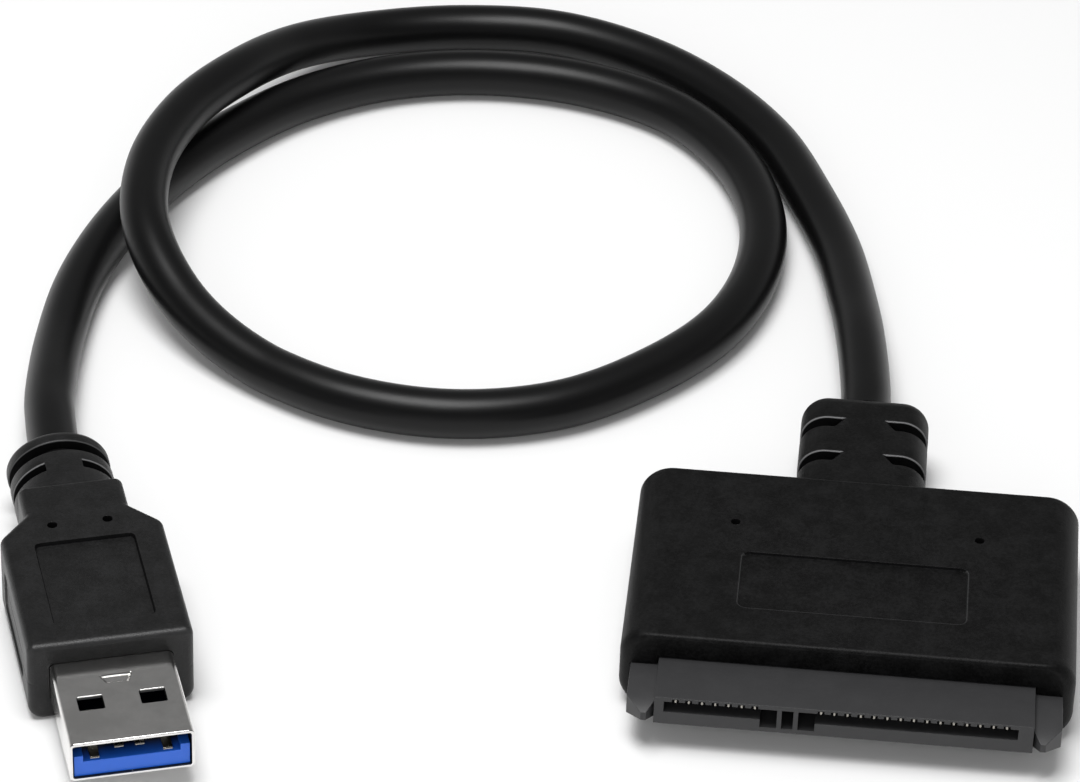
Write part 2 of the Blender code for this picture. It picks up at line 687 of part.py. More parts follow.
def build_drive_contacts(look):
    """Seven signal and fifteen power springs, each a bent strip in its channel."""
    tail_z = BOARD_TOP + SEAT_GAP + CONTACT_THICKNESS / 2
    bend = CONNECTOR_REAR + FIT_GAP
    path = [
        (FACE_Y + CONTACT_TIP_BACK, SLOT_TOP - CONTACT_TIP_DROP + CONTACT_THICKNESS / 2),
        (FACE_Y + CONTACT_BUMP_BACK - 0.5 * MM, SLOT_TOP - CONTACT_BUMP_DROP),
        (FACE_Y + CONTACT_BUMP_BACK, SLOT_TOP - CONTACT_BUMP_DROP),
        (FACE_Y + CONTACT_LIFT_BACK, CONTACT_Z),
        (bend, CONTACT_Z),
        (bend + CONTACT_STEP, tail_z),
        (bend + CONTACT_STEP + CONTACT_TAIL, tail_z),
    ]
    signal, power = contact_places()
    for kind, places in (("signal", signal), ("power", power)):
        for number, x in enumerate(places, start=1):
            strip(f"{kind}_contact_{number}", path, x, CONTACT_WIDTH, CONTACT_THICKNESS, look)


def build_board(looks):
    """The circuit board and the parts that stand on it."""
    board = rounded_rectangle(BOARD_WIDTH, BOARD_DEPTH, BOARD_CORNER, steps=3)
    board = moved(board, 0, (BOARD_FRONT + BOARD_REAR) / 2)
    prism("circuit_board", [board], "Z", BOARD_BOTTOM, BOARD_TOP, looks["board"])

    base = BOARD_TOP + SEAT_GAP
    half = BOARD_WIDTH / 2 / MM
    parts = (
        ("bridge_chip", 0.5, 8.5, 6.0, 6.0, 0.85, looks["chip"]),
        ("crystal", 9.6 - half, 9.0, 3.2, 2.5, 0.7, looks["steel"]),
        ("inductor", half - 8.1, 8.5, 3.0, 3.0, 1.2, looks["chip"]),
        ("regulator", half - 8.1, 12.8, 2.9, 1.6, 1.1, looks["chip"]),
        ("capacitor_1", half - 3.8, 8.0, 2.0, 1.25, 0.9, looks["ceramic"]),
        ("capacitor_2", half - 3.8, 11.0, 2.0, 1.25, 0.9, looks["ceramic"]),
    )
    for name, across, back, width, depth, height, look in parts:
        edge = min(width, depth) * 0.04 * MM
        outline = rounded_rectangle(width * MM, depth * MM, edge, steps=1)
        outline = moved(outline, across * MM, BOARD_FRONT + back * MM)
        prism(name, [outline], "Z", base, base + height * MM, look)


def bundle_place(number):
    """Place of one wire in the round bundle inside the cord, across and up."""
    angle = math.radians(BUNDLE_ANGLES[number])
    return BUNDLE_RADIUS * math.cos(angle), BUNDLE_RADIUS * math.sin(angle)


def build_wires(prefix, starts, spread_end, gather, end, centre_z, looks, parent=None):
    """Wires from their solder places, gathered into the bundle that meets the cord."""
    for number, (colour, start) in enumerate(zip(WIRE_COLOURS, starts)):
        x, y, z = start
        across, up = bundle_place(number)
        points = [
            Vector((x, y, z)),
            Vector((x, spread_end, z)),
            Vector((across, gather, centre_z + up)),
            Vector((across, end, centre_z + up)),
        ]
        eased = points[:1] + smooth_points(points[1:3], (gather - spread_end) / 3) + points[3:]
        tube(f"{prefix}_wire_{colour}", eased, WIRE_DIAMETER, 1, looks[colour], parent)


def build_drive_wires(looks):
    half = (len(WIRE_COLOURS) - 1) / 2
    y = BOARD_REAR - BOARD_PAD_INSET
    z = BOARD_TOP + SEAT_GAP + WIRE_DIAMETER / 2
    starts = [((number - half) * BOARD_PAD_PITCH, y, z) for number in range(len(WIRE_COLOURS))]
    gather = HOUSING_REAR - HOUSING_WALL - FIT_GAP - INNER_WALL - OVERLAP
    build_wires("board", starts, BOARD_REAR, gather, NECK_END - SEAT_GAP, DRIVE_Z, looks)


def grip_rings():
    """Rings of the grip: fillet, straight stretch, chamfer and collar."""
    widths = []
    for station in arc_stations(GRIP_FILLET, 3):
        widths.append((station, GRIP_WIDTH, corner_inset(station, GRIP_FILLET)))
    widths.append((GRIP_STRAIGHT, GRIP_WIDTH, 0.0))
    widths.append((GRIP_STRAIGHT + GRIP_CHAMFER, COLLAR_WIDTH, 0.0))
    collar_end = GRIP_STRAIGHT + GRIP_CHAMFER + COLLAR_LENGTH
    for station in reversed(arc_stations(GRIP_FILLET, 3)):
        widths.append((collar_end - station, COLLAR_WIDTH, corner_inset(station, GRIP_FILLET)))
    rings = []
    for station, width, inset in widths:
        share = (width - COLLAR_WIDTH) / (GRIP_WIDTH - COLLAR_WIDTH)
        top = COLLAR_RADIUS + share * (GRIP_TOP_RADIUS - COLLAR_RADIUS)
        outline = rounded_rectangle(width - 2 * inset, GRIP_HEIGHT - 2 * inset, top - inset / 2, GRIP_BOTTOM_RADIUS)
        rings.append(ring_at(outline, SHELL_EXPOSED + station, PLUG_Z))
    return rings


def relief_rings():
    """Rings of the strain relief: rib, full groove, and the rounded end rib."""
    outer = ellipse(RELIEF_WIDTH, RELIEF_HEIGHT, RELIEF_SIDES)
    core = ellipse(2 * CORE_RADIUS, 2 * CORE_RADIUS, RELIEF_SIDES)
    groove = COLLAR_REAR + RELIEF_SLOT_FROM_COLLAR + RELIEF_SLOT_WIDTH + RELIEF_RIB
    groove_end = groove + RELIEF_GROOVE_WIDTH
    rings = [
        ring_at(outer, COLLAR_REAR - OVERLAP, PLUG_Z),
        ring_at(outer, groove, PLUG_Z),
        ring_at(core, groove, PLUG_Z),
        ring_at(core, groove_end, PLUG_Z),
        ring_at(outer, groove_end, PLUG_Z),
    ]
    for station in reversed(arc_stations(RELIEF_END_ROUND, 4)):
        inset = corner_inset(station, RELIEF_END_ROUND)
        outline = ellipse(RELIEF_WIDTH - 2 * inset, RELIEF_HEIGHT - 2 * inset, RELIEF_SIDES)
        rings.append(ring_at(outline, RELIEF_END - station, PLUG_Z))
    return rings


def build_grip(look, parent):
    """The plug's outer moulding with its strain relief, panel, marks and cavity."""
    grip = loft("usb_grip", grip_rings(), look, parent)
    relief = loft("relief_form", relief_rings(), None, parent)
    slot_start = COLLAR_REAR + RELIEF_SLOT_FROM_COLLAR
    core = (CORE_RADIUS, CORE_RADIUS)
    outlines = [moved(side_slot(side, RELIEF_BRIDGE, core, RELIEF_WIDTH), 0, PLUG_Z) for side in (-1, 1)]
    cut(relief, prism("relief_slots", outlines, "Y", slot_start, slot_start + RELIEF_SLOT_WIDTH, None, parent))
    join(grip, relief)

    cavity = rounded_rectangle(GRIP_WIDTH - 2 * GRIP_WALL, GRIP_HEIGHT - 2 * GRIP_WALL, GRIP_TOP_RADIUS, steps=2)
    cavity_rear = GRIP_CAVITY_FRONT + GRIP_CAVITY
    cut(grip, prism("grip_cavity", [moved(cavity, 0, PLUG_Z)], "Y", GRIP_CAVITY_FRONT, cavity_rear, None, parent))
    mouth = rounded_rectangle(SHELL_WIDTH + 2 * SEAT_GAP, SHELL_HEIGHT + 2 * SEAT_GAP, SHELL_CORNER + SEAT_GAP, steps=3)
    mouth = moved(mouth, 0, PLUG_Z)
    mouth_start = SHELL_EXPOSED - OVERRUN
    cut(grip, prism("grip_mouth", [mouth], "Y", mouth_start, GRIP_CAVITY_FRONT + OVERLAP, None, parent))
    bore = moved(ellipse(BUNDLE_BORE, BUNDLE_BORE, 16), 0, PLUG_Z)
    cut(grip, prism("relief_bore", [bore], "Y", cavity_rear - OVERLAP, RELIEF_END + OVERRUN, None, parent))

    panel = rounded_rectangle(GRIP_PANEL_WIDTH, GRIP_PANEL_LENGTH, GRIP_PANEL_CORNER, steps=3)
    panel = moved(panel, 0, SHELL_EXPOSED + GRIP_PANEL_FROM_FRONT + GRIP_PANEL_LENGTH / 2)
    floor = GRIP_HEIGHT - GRIP_PANEL_SINK
    cut(grip, prism("grip_panel", [panel], "Z", floor, GRIP_HEIGHT + OVERRUN, None, parent))
    mark = ellipse(GRIP_MARK_DIAMETER, GRIP_MARK_DIAMETER, 12)
    mark_y = SHELL_EXPOSED + GRIP_MARK_FROM_FRONT
    marks = [moved(mark, side * GRIP_MARK_SPREAD / 2, mark_y) for side in (-1, 1)]
    floor = GRIP_HEIGHT - GRIP_MARK_SINK
    cut(grip, prism("grip_pin_marks", marks, "Z", floor, GRIP_HEIGHT + OVERRUN, None, parent))
    pad = rounded_rectangle(GRIP_PAD_LENGTH, GRIP_PAD_HEIGHT, GRIP_PAD_CORNER, steps=3)
    pad = moved(pad, SHELL_EXPOSED + GRIP_PAD_FROM_FRONT + GRIP_PAD_LENGTH / 2, PLUG_Z)
    for side, name in ((-1, "left_pad"), (1, "right_pad")):
        inner = side * (GRIP_WIDTH / 2 - GRIP_PAD_SINK)
        cut(grip, prism(name, [pad], "X", inner, inner + side * OVERRUN, None, parent))


def build_plug_moulding(look, parent):
    """The first-shot moulding that holds the shell and the can inside the grip."""
    width = GRIP_WIDTH - 2 * GRIP_WALL - 2 * FIT_GAP
    height = GRIP_HEIGHT - 2 * GRIP_WALL - 2 * FIT_GAP
    front = GRIP_CAVITY_FRONT + FIT_GAP
    rear = GRIP_CAVITY_FRONT + GRIP_CAVITY - FIT_GAP
    outline = rounded_rectangle(width, height, GRIP_TOP_RADIUS - FIT_GAP, steps=2)
    moulding = prism("usb_inner_moulding", [moved(outline, 0, PLUG_Z)], "Y", front, rear, look, parent)
    hold_width = max(SHELL_WIDTH, CAN_WIDTH) + 2 * FIT_GAP
    hold_height = max(SHELL_HEIGHT, CAN_HEIGHT) + 2 * FIT_GAP
    space = rounded_rectangle(hold_width, hold_height, SHELL_CORNER, steps=2)
    wall = rear - INNER_WALL
    cut(moulding, prism("shell_space", [moved(space, 0, PLUG_Z)], "Y", front - OVERRUN, wall, None, parent))
    bore = moved(ellipse(BUNDLE_BORE, BUNDLE_BORE, 16), 0, PLUG_Z)
    cut(moulding, prism("plug_moulding_bore", [bore], "Y", wall - OVERLAP, rear + OVERRUN, None, parent))


def folded_outline(width, height, corner, thickness, seam):
    """Section of a sheet folded round four corners until its edges nearly meet."""
    outer = rounded_rectangle(width, height, corner, steps=4)
    inner = rounded_rectangle(width - 2 * thickness, height - 2 * thickness, corner - thickness, steps=4)
    floor = -height / 2
    open_outer = [(seam / 2, floor), *outer, (-seam / 2, floor)]
    open_inner = [(seam / 2, floor + thickness), *inner, (-seam / 2, floor + thickness)]
    return open_outer + open_inner[::-1]


def build_shell(look, parent):
    """The steel shell, folded from sheet, with latch windows and a pressed detent."""
    section = folded_outline(SHELL_WIDTH, SHELL_HEIGHT, SHELL_CORNER, SHELL_THICKNESS, SHELL_SEAM)
    shell = prism("usb_shell", [moved(section, 0, PLUG_Z)], "Y", 0.0, SHELL_LENGTH, look, parent)
    window = rounded_rectangle(WINDOW_WIDTH, WINDOW_LENGTH, 0.15 * MM, steps=2)
    window_y = WINDOW_FROM_NOSE + WINDOW_LENGTH / 2
    windows = [moved(window, side * WINDOW_SPREAD / 2, window_y) for side in (-1, 1)]
    top = PLUG_Z + SHELL_HEIGHT / 2
    bottom = PLUG_Z - SHELL_HEIGHT / 2
    cut(shell, prism("top_windows", windows, "Z", top - OVERLAP, top + OVERRUN, None, parent))
    cut(shell, prism("bottom_windows", windows, "Z", bottom - OVERRUN, bottom + OVERLAP, None, parent))
    rear = DETENT_FROM_NOSE + DETENT_LENGTH / 2
    front = DETENT_FROM_NOSE - DETENT_LENGTH / 2
    detent = [
        (-DETENT_FRONT_WIDTH / 2, front), (DETENT_FRONT_WIDTH / 2, front),
        (DETENT_REAR_WIDTH / 2, rear), (-DETENT_REAR_WIDTH / 2, rear),
    ]
    cut(shell, prism("detent", [detent], "Z", top - DETENT_SINK, top + OVERRUN, None, parent))


def build_insulator(look, parent):
    """The blue insulator: a base block that fills the shell and a tongue with rails."""
    low = SHELL_FLOOR + SEAT_GAP
    roof = PLUG_Z + SHELL_HEIGHT / 2 - SHELL_THICKNESS - SEAT_GAP
    rail_top = TONGUE_TOP + TONGUE_RAIL_RISE
    half = SHELL_WIDTH / 2 - SHELL_THICKNESS - SEAT_GAP
    base = TONGUE_SET_BACK + TONGUE_LENGTH
    profile = [
        (TONGUE_SET_BACK, low), (INSULATOR_LENGTH, low), (INSULATOR_LENGTH, roof),
        (base, roof), (base, rail_top), (TONGUE_SET_BACK, rail_top),
    ]
    insulator = prism("usb_insulator", [profile], "X", -half, half, look, parent)
    bed_half = half - TONGUE_RAIL
    bed = rectangle(-bed_half, bed_half, TONGUE_TOP, rail_top + OVERRUN)
    cut(insulator, prism("tongue_bed", [bed], "Y", TONGUE_SET_BACK - OVERRUN, base, None, parent))

    blade_half = BLADE_WIDTH / 2 + SEAT_GAP
    groove_floor = BLADE_Z - BLADE_THICKNESS / 2 - SEAT_GAP
    for group, set_back in (("outer", BLADE_SET_BACK_OUTER), ("inner", BLADE_SET_BACK_INNER)):
        grooves = [rectangle(x - blade_half, x + blade_half, groove_floor, rail_top) for x in blades_of(group)]
        start = TONGUE_SET_BACK + set_back - SEAT_GAP
        cut(insulator, prism(f"{group}_grooves", grooves, "Y", start, base - OVERLAP, None, parent))
    low = BLADE_TAIL_Z - BLADE_THICKNESS / 2 - SEAT_GAP
    wells = [rectangle(x - blade_half, x + blade_half, low, rail_top) for x in BLADE_PLACES]
    cut(insulator, prism("blade_wells", wells, "Y", BLADE_DIVE - SEAT_GAP, base - OVERLAP, None, parent))
    top = BLADE_TAIL_Z + BLADE_THICKNESS / 2 + SEAT_GAP
    holes = [rectangle(x - blade_half, x + blade_half, low, top) for x in BLADE_PLACES]
    cut(insulator, prism("blade_holes", holes, "Y", base - 2 * OVERLAP, INSULATOR_LENGTH + OVERRUN, None, parent))
    spring_half = SPRING_WIDTH / 2 + SEAT_GAP
    low = SPRING_Z - BLADE_THICKNESS / 2 - SEAT_GAP
    top = SPRING_Z + BLADE_THICKNESS / 2 + SEAT_GAP
    holes = [rectangle(x - spring_half, x + spring_half, low, top) for x in spring_places()]
    cut(insulator, prism("spring_holes", holes, "Y", base - OVERLAP, INSULATOR_LENGTH + OVERRUN, None, parent))


def blades_of(group):
    outer = max(abs(x) for x in BLADE_PLACES)
    return [x for x in BLADE_PLACES if (abs(x) == outer) == (group == "outer")]


def spring_places():
    return [(i - (SPRING_COUNT - 1) / 2) * SPRING_PITCH for i in range(SPRING_COUNT)]


def build_plug_contacts(look, parent):
    """Four flat blades that lie in the tongue, and five springs raised behind them."""
    for number, x in enumerate(BLADE_PLACES, start=1):
        set_back = BLADE_SET_BACK_OUTER if x in blades_of("outer") else BLADE_SET_BACK_INNER
        path = [
            (TONGUE_SET_BACK + set_back, BLADE_Z),
            (BLADE_DIVE, BLADE_Z),
            (BLADE_DIVE + BLADE_DEPTH, BLADE_TAIL_Z),
            (TAIL_END, BLADE_TAIL_Z),
        ]
        strip(f"usb_blade_{number}", path, x, BLADE_WIDTH, BLADE_THICKNESS, look, parent)
    for number, x in enumerate(spring_places(), start=1):
        path = [
            (SPRING_START, SPRING_Z),
            (SPRING_START + 0.7 * MM, SPRING_Z + SPRING_RISE),
            (SPRING_START + 1.3 * MM, SPRING_Z + SPRING_RISE),
            (SPRING_START + 2.4 * MM, SPRING_Z),
            (TAIL_END, SPRING_Z),
        ]
        strip(f"usb_spring_{number}", path, x, SPRING_WIDTH, BLADE_THICKNESS, look, parent)


def build_can(look, parent):
    """The screening can round the solder joints, open to the front and rear."""
    section = folded_outline(CAN_WIDTH, CAN_HEIGHT, SHELL_CORNER, CAN_THICKNESS, SHELL_SEAM)
    start = SHELL_LENGTH + FIT_GAP
    prism("usb_shield_can", [moved(section, 0, PLUG_Z)], "Y", start, start + CAN_LENGTH, look, parent)


def build_plug_wires(looks, parent):
    springs = spring_places()
    half_pitch = SPRING_PITCH / 2
    y = TAIL_END + SEAT_GAP
    spring_z = SPRING_Z + SEAT_GAP
    starts = [
        (BLADE_PLACES[0], y, BLADE_TAIL_Z),
        (springs[0] + half_pitch, y, spring_z),
        (BLADE_PLACES[1], y, BLADE_TAIL_Z),
        (BLADE_PLACES[2], y, BLADE_TAIL_Z),
        (springs[-1] - half_pitch, y, spring_z),
        (BLADE_PLACES[3], y, BLADE_TAIL_Z),
    ]
    spread_end = TAIL_END + 1.2 * MM
    gather = SHELL_LENGTH + FIT_GAP + CAN_LENGTH
    build_wires("plug", starts, spread_end, gather, RELIEF_END - SEAT_GAP, PLUG_Z, looks, parent)


def build_cord(look, parent):
    """The cord, from the neck's end face to the strain relief's, on the desk between."""
    start = Vector((0.0, NECK_END + CORD_GAP, DRIVE_Z))
    bpy.context.view_layer.update()
    end = parent.matrix_world @ Vector((0.0, RELIEF_END + CORD_GAP, PLUG_Z))
    route = [start, *(Vector(point) * MM for point in CORD_ROUTE), end]
    tube("cord", smooth_points(route, CORD_POINT_SPACING), CORD_DIAMETER, 3, look)


def main():
    for existing in list(bpy.data.objects):
        bpy.data.objects.remove(existing)

    black_moulding = material("black_moulding", (0.012, 0.012, 0.013), 0.5)
    black_cord = material("black_cord", (0.010, 0.010, 0.011), 0.38)
    inner_plastic = material("inner_plastic", (0.55, 0.55, 0.52), 0.6)
    connector_plastic = material("connector_plastic", (0.045, 0.045, 0.048), 0.45)
    steel = material("nickel_steel", (0.56, 0.55, 0.53), 0.3, 1.0)
    blue = material("blue_plastic", (0.02, 0.12, 0.62), 0.35)
    gold = material("contact_gold", (0.85, 0.72, 0.45), 0.25, 1.0)
    looks = {
        "board": material("board_green", (0.02, 0.16, 0.06), 0.45),
        "chip": material("chip_black", (0.02, 0.02, 0.022), 0.5),
        "ceramic": material("ceramic_tan", (0.45, 0.32, 0.2), 0.5),
        "steel": steel,
    }
    wire_looks = {name: material(f"wire_{name}", colour, 0.45) for name, colour in WIRE_COLOURS.items()}

    build_housing(black_moulding)
    build_inner_moulding(inner_plastic)
    build_connector(connector_plastic)
    build_drive_contacts(gold)
    build_board(looks)
    build_drive_wires(wire_looks)

    plug = bpy.data.objects.new("plug_place", None)
    bpy.context.scene.collection.objects.link(plug)
    plug.location = (*PLUG_PLACE, 0.0)
    plug.rotation_euler = (0.0, 0.0, PLUG_TURN)
    build_grip(black_moulding, plug)
    build_plug_moulding(inner_plastic, plug)
    build_shell(steel, plug)
    build_insulator(blue, plug)
    build_plug_contacts(gold, plug)
    build_can(steel, plug)
    build_plug_wires(wire_looks, plug)
    build_cord(black_cord, plug)


main()
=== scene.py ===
# %% [markdown]
# USB to SATA adapter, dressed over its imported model
#
# The object is a lead with a wide moulded drive connector at one end and a small
# moulded USB plug at the other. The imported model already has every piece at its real
# size. This script makes the finer surfaces and the finishes: satin black mouldings,
# a round cord that loops over itself, a nickel-plated shell and a blue tongue.
# Everything is in metres, and the desk is z = 0.

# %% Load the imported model
import json
import math

import bmesh
import bpy
import numpy as np
from mathutils import Matrix, Vector


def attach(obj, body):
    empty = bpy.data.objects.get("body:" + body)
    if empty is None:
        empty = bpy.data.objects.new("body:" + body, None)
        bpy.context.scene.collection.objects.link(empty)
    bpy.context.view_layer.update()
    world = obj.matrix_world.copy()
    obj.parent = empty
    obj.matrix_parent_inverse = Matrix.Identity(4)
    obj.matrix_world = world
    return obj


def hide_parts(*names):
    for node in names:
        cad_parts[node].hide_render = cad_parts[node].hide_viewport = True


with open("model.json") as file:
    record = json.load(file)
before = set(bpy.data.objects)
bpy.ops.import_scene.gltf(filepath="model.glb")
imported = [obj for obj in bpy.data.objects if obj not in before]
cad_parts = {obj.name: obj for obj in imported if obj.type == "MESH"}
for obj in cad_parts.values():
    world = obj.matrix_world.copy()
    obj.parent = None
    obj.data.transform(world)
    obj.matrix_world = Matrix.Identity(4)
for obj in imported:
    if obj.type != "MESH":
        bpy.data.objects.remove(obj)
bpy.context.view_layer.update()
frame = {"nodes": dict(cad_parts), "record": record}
MM = 0.001

# %% [markdown]
# The camera comes first, because all the likeness is judged through it. The photograph
# was taken with a long lens from above and in front. Its direction is written as three
# plain angles: how far round, how far up, and how far the picture is rolled.

# %% The camera of the photograph
PHOTO_WIDTH = 1080
SENSOR_WIDTH = 36.0
FOCAL_PIXELS = 5210
CAMERA_PLACE = (-0.00174, -0.41140, 0.32203)
CAMERA_AZIMUTH = math.radians(4.202)
CAMERA_ELEVATION = math.radians(35.893)
CAMERA_ROLL = math.radians(1.972)


def make_camera():
    """A camera that looks back along the direction given by azimuth and elevation."""
    data = bpy.data.cameras.new("photo_camera")
    data.sensor_width = SENSOR_WIDTH
    data.lens = FOCAL_PIXELS / PHOTO_WIDTH * SENSOR_WIDTH
    data.clip_start = 0.01
    camera = bpy.data.objects.new("photo_camera", data)
    bpy.context.scene.collection.objects.link(camera)
    flat = math.cos(CAMERA_ELEVATION)
    back = Vector((
        math.sin(CAMERA_AZIMUTH) * flat,
        -math.cos(CAMERA_AZIMUTH) * flat,
        math.sin(CAMERA_ELEVATION),
    ))
    turn = (-back).to_track_quat("-Z", "Y").to_matrix().to_4x4()
    roll = Matrix.Rotation(CAMERA_ROLL, 4, "Z")
    camera.rotation_mode = "QUATERNION"
    camera.rotation_quaternion = (turn @ roll).to_quaternion()
    camera.location = CAMERA_PLACE
    bpy.context.scene.camera = camera
    return camera


camera = make_camera()
print("lens:", round(camera.data.lens, 1), "mm")

# %% [markdown]
# The cord is one fixed length of round PVC, so its centre line comes before its look.
# The route's points are the imported model's own. A Catmull-Rom curve runs
# through them: between two points it keeps the direction that joins their neighbours, so
# it has no kinks. It leaves the neck straight, drops to the desk, turns, climbs in a long
# low hump over its other run and comes round into the plug.

# %% The cord's centre line
CORD_DIAMETER = 5.2 * MM
CORD_GAP = 0.3 * MM
NECK_END = (0.0, 25.25 * MM, 4.5 * MM)
PLUG_PLACE = np.array([-66.6 * MM, -37.37 * MM, 0.0])
PLUG_TURN = math.radians(18.4)
RELIEF_END = 47.2 * MM
PLUG_Z = 4.45 * MM
CORD_ROUTE = (
    (-0.2, 31.0, 4.5), (-1.0, 39.5, 4.2), (-2.2, 48.0, 3.5), (-4.4, 59.0, 2.8),
    (-8.0, 69.6, 2.6), (-12.6, 79.9, 2.6), (-19.6, 88.8, 2.6), (-28.4, 95.5, 2.6),
    (-38.9, 99.3, 2.6), (-49.9, 98.8, 2.7), (-60.0, 94.7, 3.5), (-67.5, 87.1, 5.8),
    (-72.8, 77.6, 7.9), (-77.4, 67.6, 8.6), (-79.5, 56.5, 8.5), (-78.0, 45.5, 7.5),
    (-72.3, 36.5, 4.5), (-63.7, 29.5, 2.7), (-53.6, 24.7, 2.6), (-42.5, 23.6, 2.6),
    (-31.7, 26.7, 2.6), (-22.9, 33.7, 2.6), (-16.2, 42.7, 2.6), (-12.9, 53.4, 2.6),
    (-13.0, 64.7, 2.6), (-16.7, 75.3, 2.6), (-23.8, 83.9, 2.6), (-33.9, 88.6, 2.6),
    (-45.2, 89.7, 2.6), (-56.2, 87.3, 2.6), (-65.7, 81.5, 2.6), (-73.1, 73.2, 2.6),
    (-78.8, 63.6, 2.6), (-82.7, 53.2, 2.6), (-84.9, 42.1, 2.6), (-85.2, 31.0, 2.8),
    (-84.4, 20.5, 3.7), (-83.3, 14.5, 4.2),
)


def plug_world(points):
    """Carries points from the plug's own frame to the desk: a turn about Z, then a shift."""
    points = np.asarray(points, float)
    c, s = math.cos(PLUG_TURN), math.sin(PLUG_TURN)
    x, y, z = points[..., 0], points[..., 1], points[..., 2]
    return np.stack([x * c - y * s, x * s + y * c, z], axis=-1) + PLUG_PLACE


def catmull_rom(points, per_piece):
    """Each stretch is a cubic whose end slopes are half the step between the neighbours."""
    ends = np.vstack([2 * points[0] - points[1], points, 2 * points[-1] - points[-2]])
    before, start, end, after = ends[:-3], ends[1:-2], ends[2:-1], ends[3:]
    t = (np.arange(per_piece) / per_piece)[None, :, None]
    slope_in = ((end - before) / 2)[:, None]
    slope_out = ((after - start) / 2)[:, None]
    curve = (
        (2 * t**3 - 3 * t**2 + 1) * start[:, None]
        + (t**3 - 2 * t**2 + t) * slope_in
        + (3 * t**2 - 2 * t**3) * end[:, None]
        + (t**3 - t**2) * slope_out
    )
    return np.vstack([curve.reshape(-1, 3), points[-1:]])


cord_exit = np.array(NECK_END) + (0.0, CORD_GAP, 0.0)
cord_end = plug_world([0.0, RELIEF_END + CORD_GAP, PLUG_Z])
cord_line = catmull_rom(np.vstack([cord_exit, np.array(CORD_ROUTE) * MM, cord_end]), 12)
cord_line[:, 2] = np.maximum(cord_line[:, 2], CORD_DIAMETER / 2)
steps = np.linalg.norm(np.diff(cord_line, axis=0), axis=1)
print("cord length:", round(float(steps.sum()), 4), "m, points:", len(cord_line))

# %% [markdown]
# Every smooth surface here is a grid of points: rows along the piece, columns round it.
# One array holds the whole grid, so a formula shapes all its points at once. The class
# below collects such grids, joins their edges and makes one mesh of them.

# %% Grids of points become one mesh
SHARP_ANGLE = 35.0
WELD_DISTANCE = 0.001 * MM


class Surface:
    """Grids and caps that will be one piece."""

    def __init__(self):
        self.points = []
        self.faces = []
        self.looks = []
        self.painted_highlight = []
        self.count = 0

    def add(self, points, faces, looks, painted_highlight):
        """Keeps points with their painted highlight values, and faces that count these points from 0."""
        self.faces += (self.count + faces).tolist()
        self.looks += looks.tolist()
        self.points.append(points)
        self.painted_highlight.append(painted_highlight)
        self.count += len(points)

    def grid(self, points, closed=True, keep=None, look=0, painted_highlight=0.0):
        """A quad between each four neighbours; closed joins the last column to the first.

        keep is a grid of flags, one for each quad: the quads without it are left out.
        look is the number of the material, one for all quads or one for each. The last value
        is how much painted highlight each point takes, from 0 to 1, for the material to read.
        """
        rows, columns = points.shape[:2]
        index = np.arange(rows * columns).reshape(rows, columns)
        if closed:
            index = np.hstack([index, index[:, :1]])
        corners = (index[:-1, :-1], index[:-1, 1:], index[1:, 1:], index[1:, :-1])
        quads = np.stack(corners, axis=-1)
        looks = np.broadcast_to(look, quads.shape[:2])
        if keep is not None:
            quads, looks = quads[keep], looks[keep]
        painted_highlight = np.broadcast_to(painted_highlight, (rows, columns))
        self.add(points.reshape(-1, 3), quads.reshape(-1, 4), looks.ravel(), painted_highlight.ravel())

    def patches(self, corners):
        """Loose flat faces, given as one array: face, corner, place."""
        faces = np.arange(corners.shape[0] * corners.shape[1]).reshape(corners.shape[:2])
        self.add(corners.reshape(-1, 3), faces, np.zeros(len(faces), int), np.zeros(faces.size))

    def cap(self, ring):
        """One flat face over a ring of points."""
        self.patches(ring[None])

    def bar(self, rings):
        """A closed grid with a flat face at either end."""
        self.grid(rings)
        self.patches(rings[[0, -1]])

    def build(self, name, sharp_angle=SHARP_ANGLE):
        """The piece: near points are welded, faces turned outwards, sharp bends marked."""
        mesh = bpy.data.meshes.new(name)
        mesh.from_pydata(np.vstack(self.points).tolist(), [], self.faces)
        mesh.polygons.foreach_set("material_index", self.looks)
        painted_highlight = mesh.attributes.new("painted_highlight", "FLOAT", "POINT")
        painted_highlight.data.foreach_set("value", np.concatenate(self.painted_highlight))
        work = bmesh.new()
        work.from_mesh(mesh)
        bmesh.ops.remove_doubles(work, verts=work.verts, dist=WELD_DISTANCE)
        bmesh.ops.recalc_face_normals(work, faces=work.faces)
        work.to_mesh(mesh)
        work.free()
        mesh.shade_smooth()
        mesh.set_sharp_from_angle(angle=math.radians(sharp_angle))
        piece = bpy.data.objects.new(name, mesh)
        bpy.context.scene.collection.objects.link(piece)
        print(name, "faces:", len(mesh.polygons))
        return piece


def stand_in(piece, node, slot, *materials):
    """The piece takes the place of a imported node, dressed in these materials."""
    for material in materials:
        piece.data.materials.append(material)
    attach(piece, "root")
    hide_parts(node)
    return piece


# %% [markdown]
# The cord's tube is the first such grid. At each point of the centre line stands a circle,
# square to the line's direction. Two directions span it: one level and sideways, one
# upwards, both found with cross products. The line never points straight up, so they
# never fail.

# %% The cord's tube
CORD_SIDES = 56


def along_line(line):
    """Unit directions of a line's points, from the step between each point's neighbours."""
    forward = np.gradient(line, axis=0)
    return forward / np.linalg.norm(forward, axis=1, keepdims=True)


def tube_rings(line, radius, sides):
    """Circle points: centre + radius (cos a sideways + sin a up), for each centre."""
    forward = along_line(line)
    level = np.cross(forward, (0.0, 0.0, 1.0))
    level /= np.linalg.norm(level, axis=1, keepdims=True)
    up = np.cross(level, forward)
    angles = np.linspace(0.0, math.tau, sides, endpoint=False)[None, :, None]
    return line[:, None] + radius * (np.cos(angles) * level[:, None] + np.sin(angles) * up[:, None])


def make_cord():
    shape = Surface()
    shape.bar(tube_rings(cord_line, CORD_DIAMETER / 2, CORD_SIDES))
    return stand_in(shape.build("cord_jacket"), "cord", "cord_jacket")


cord = make_cord()

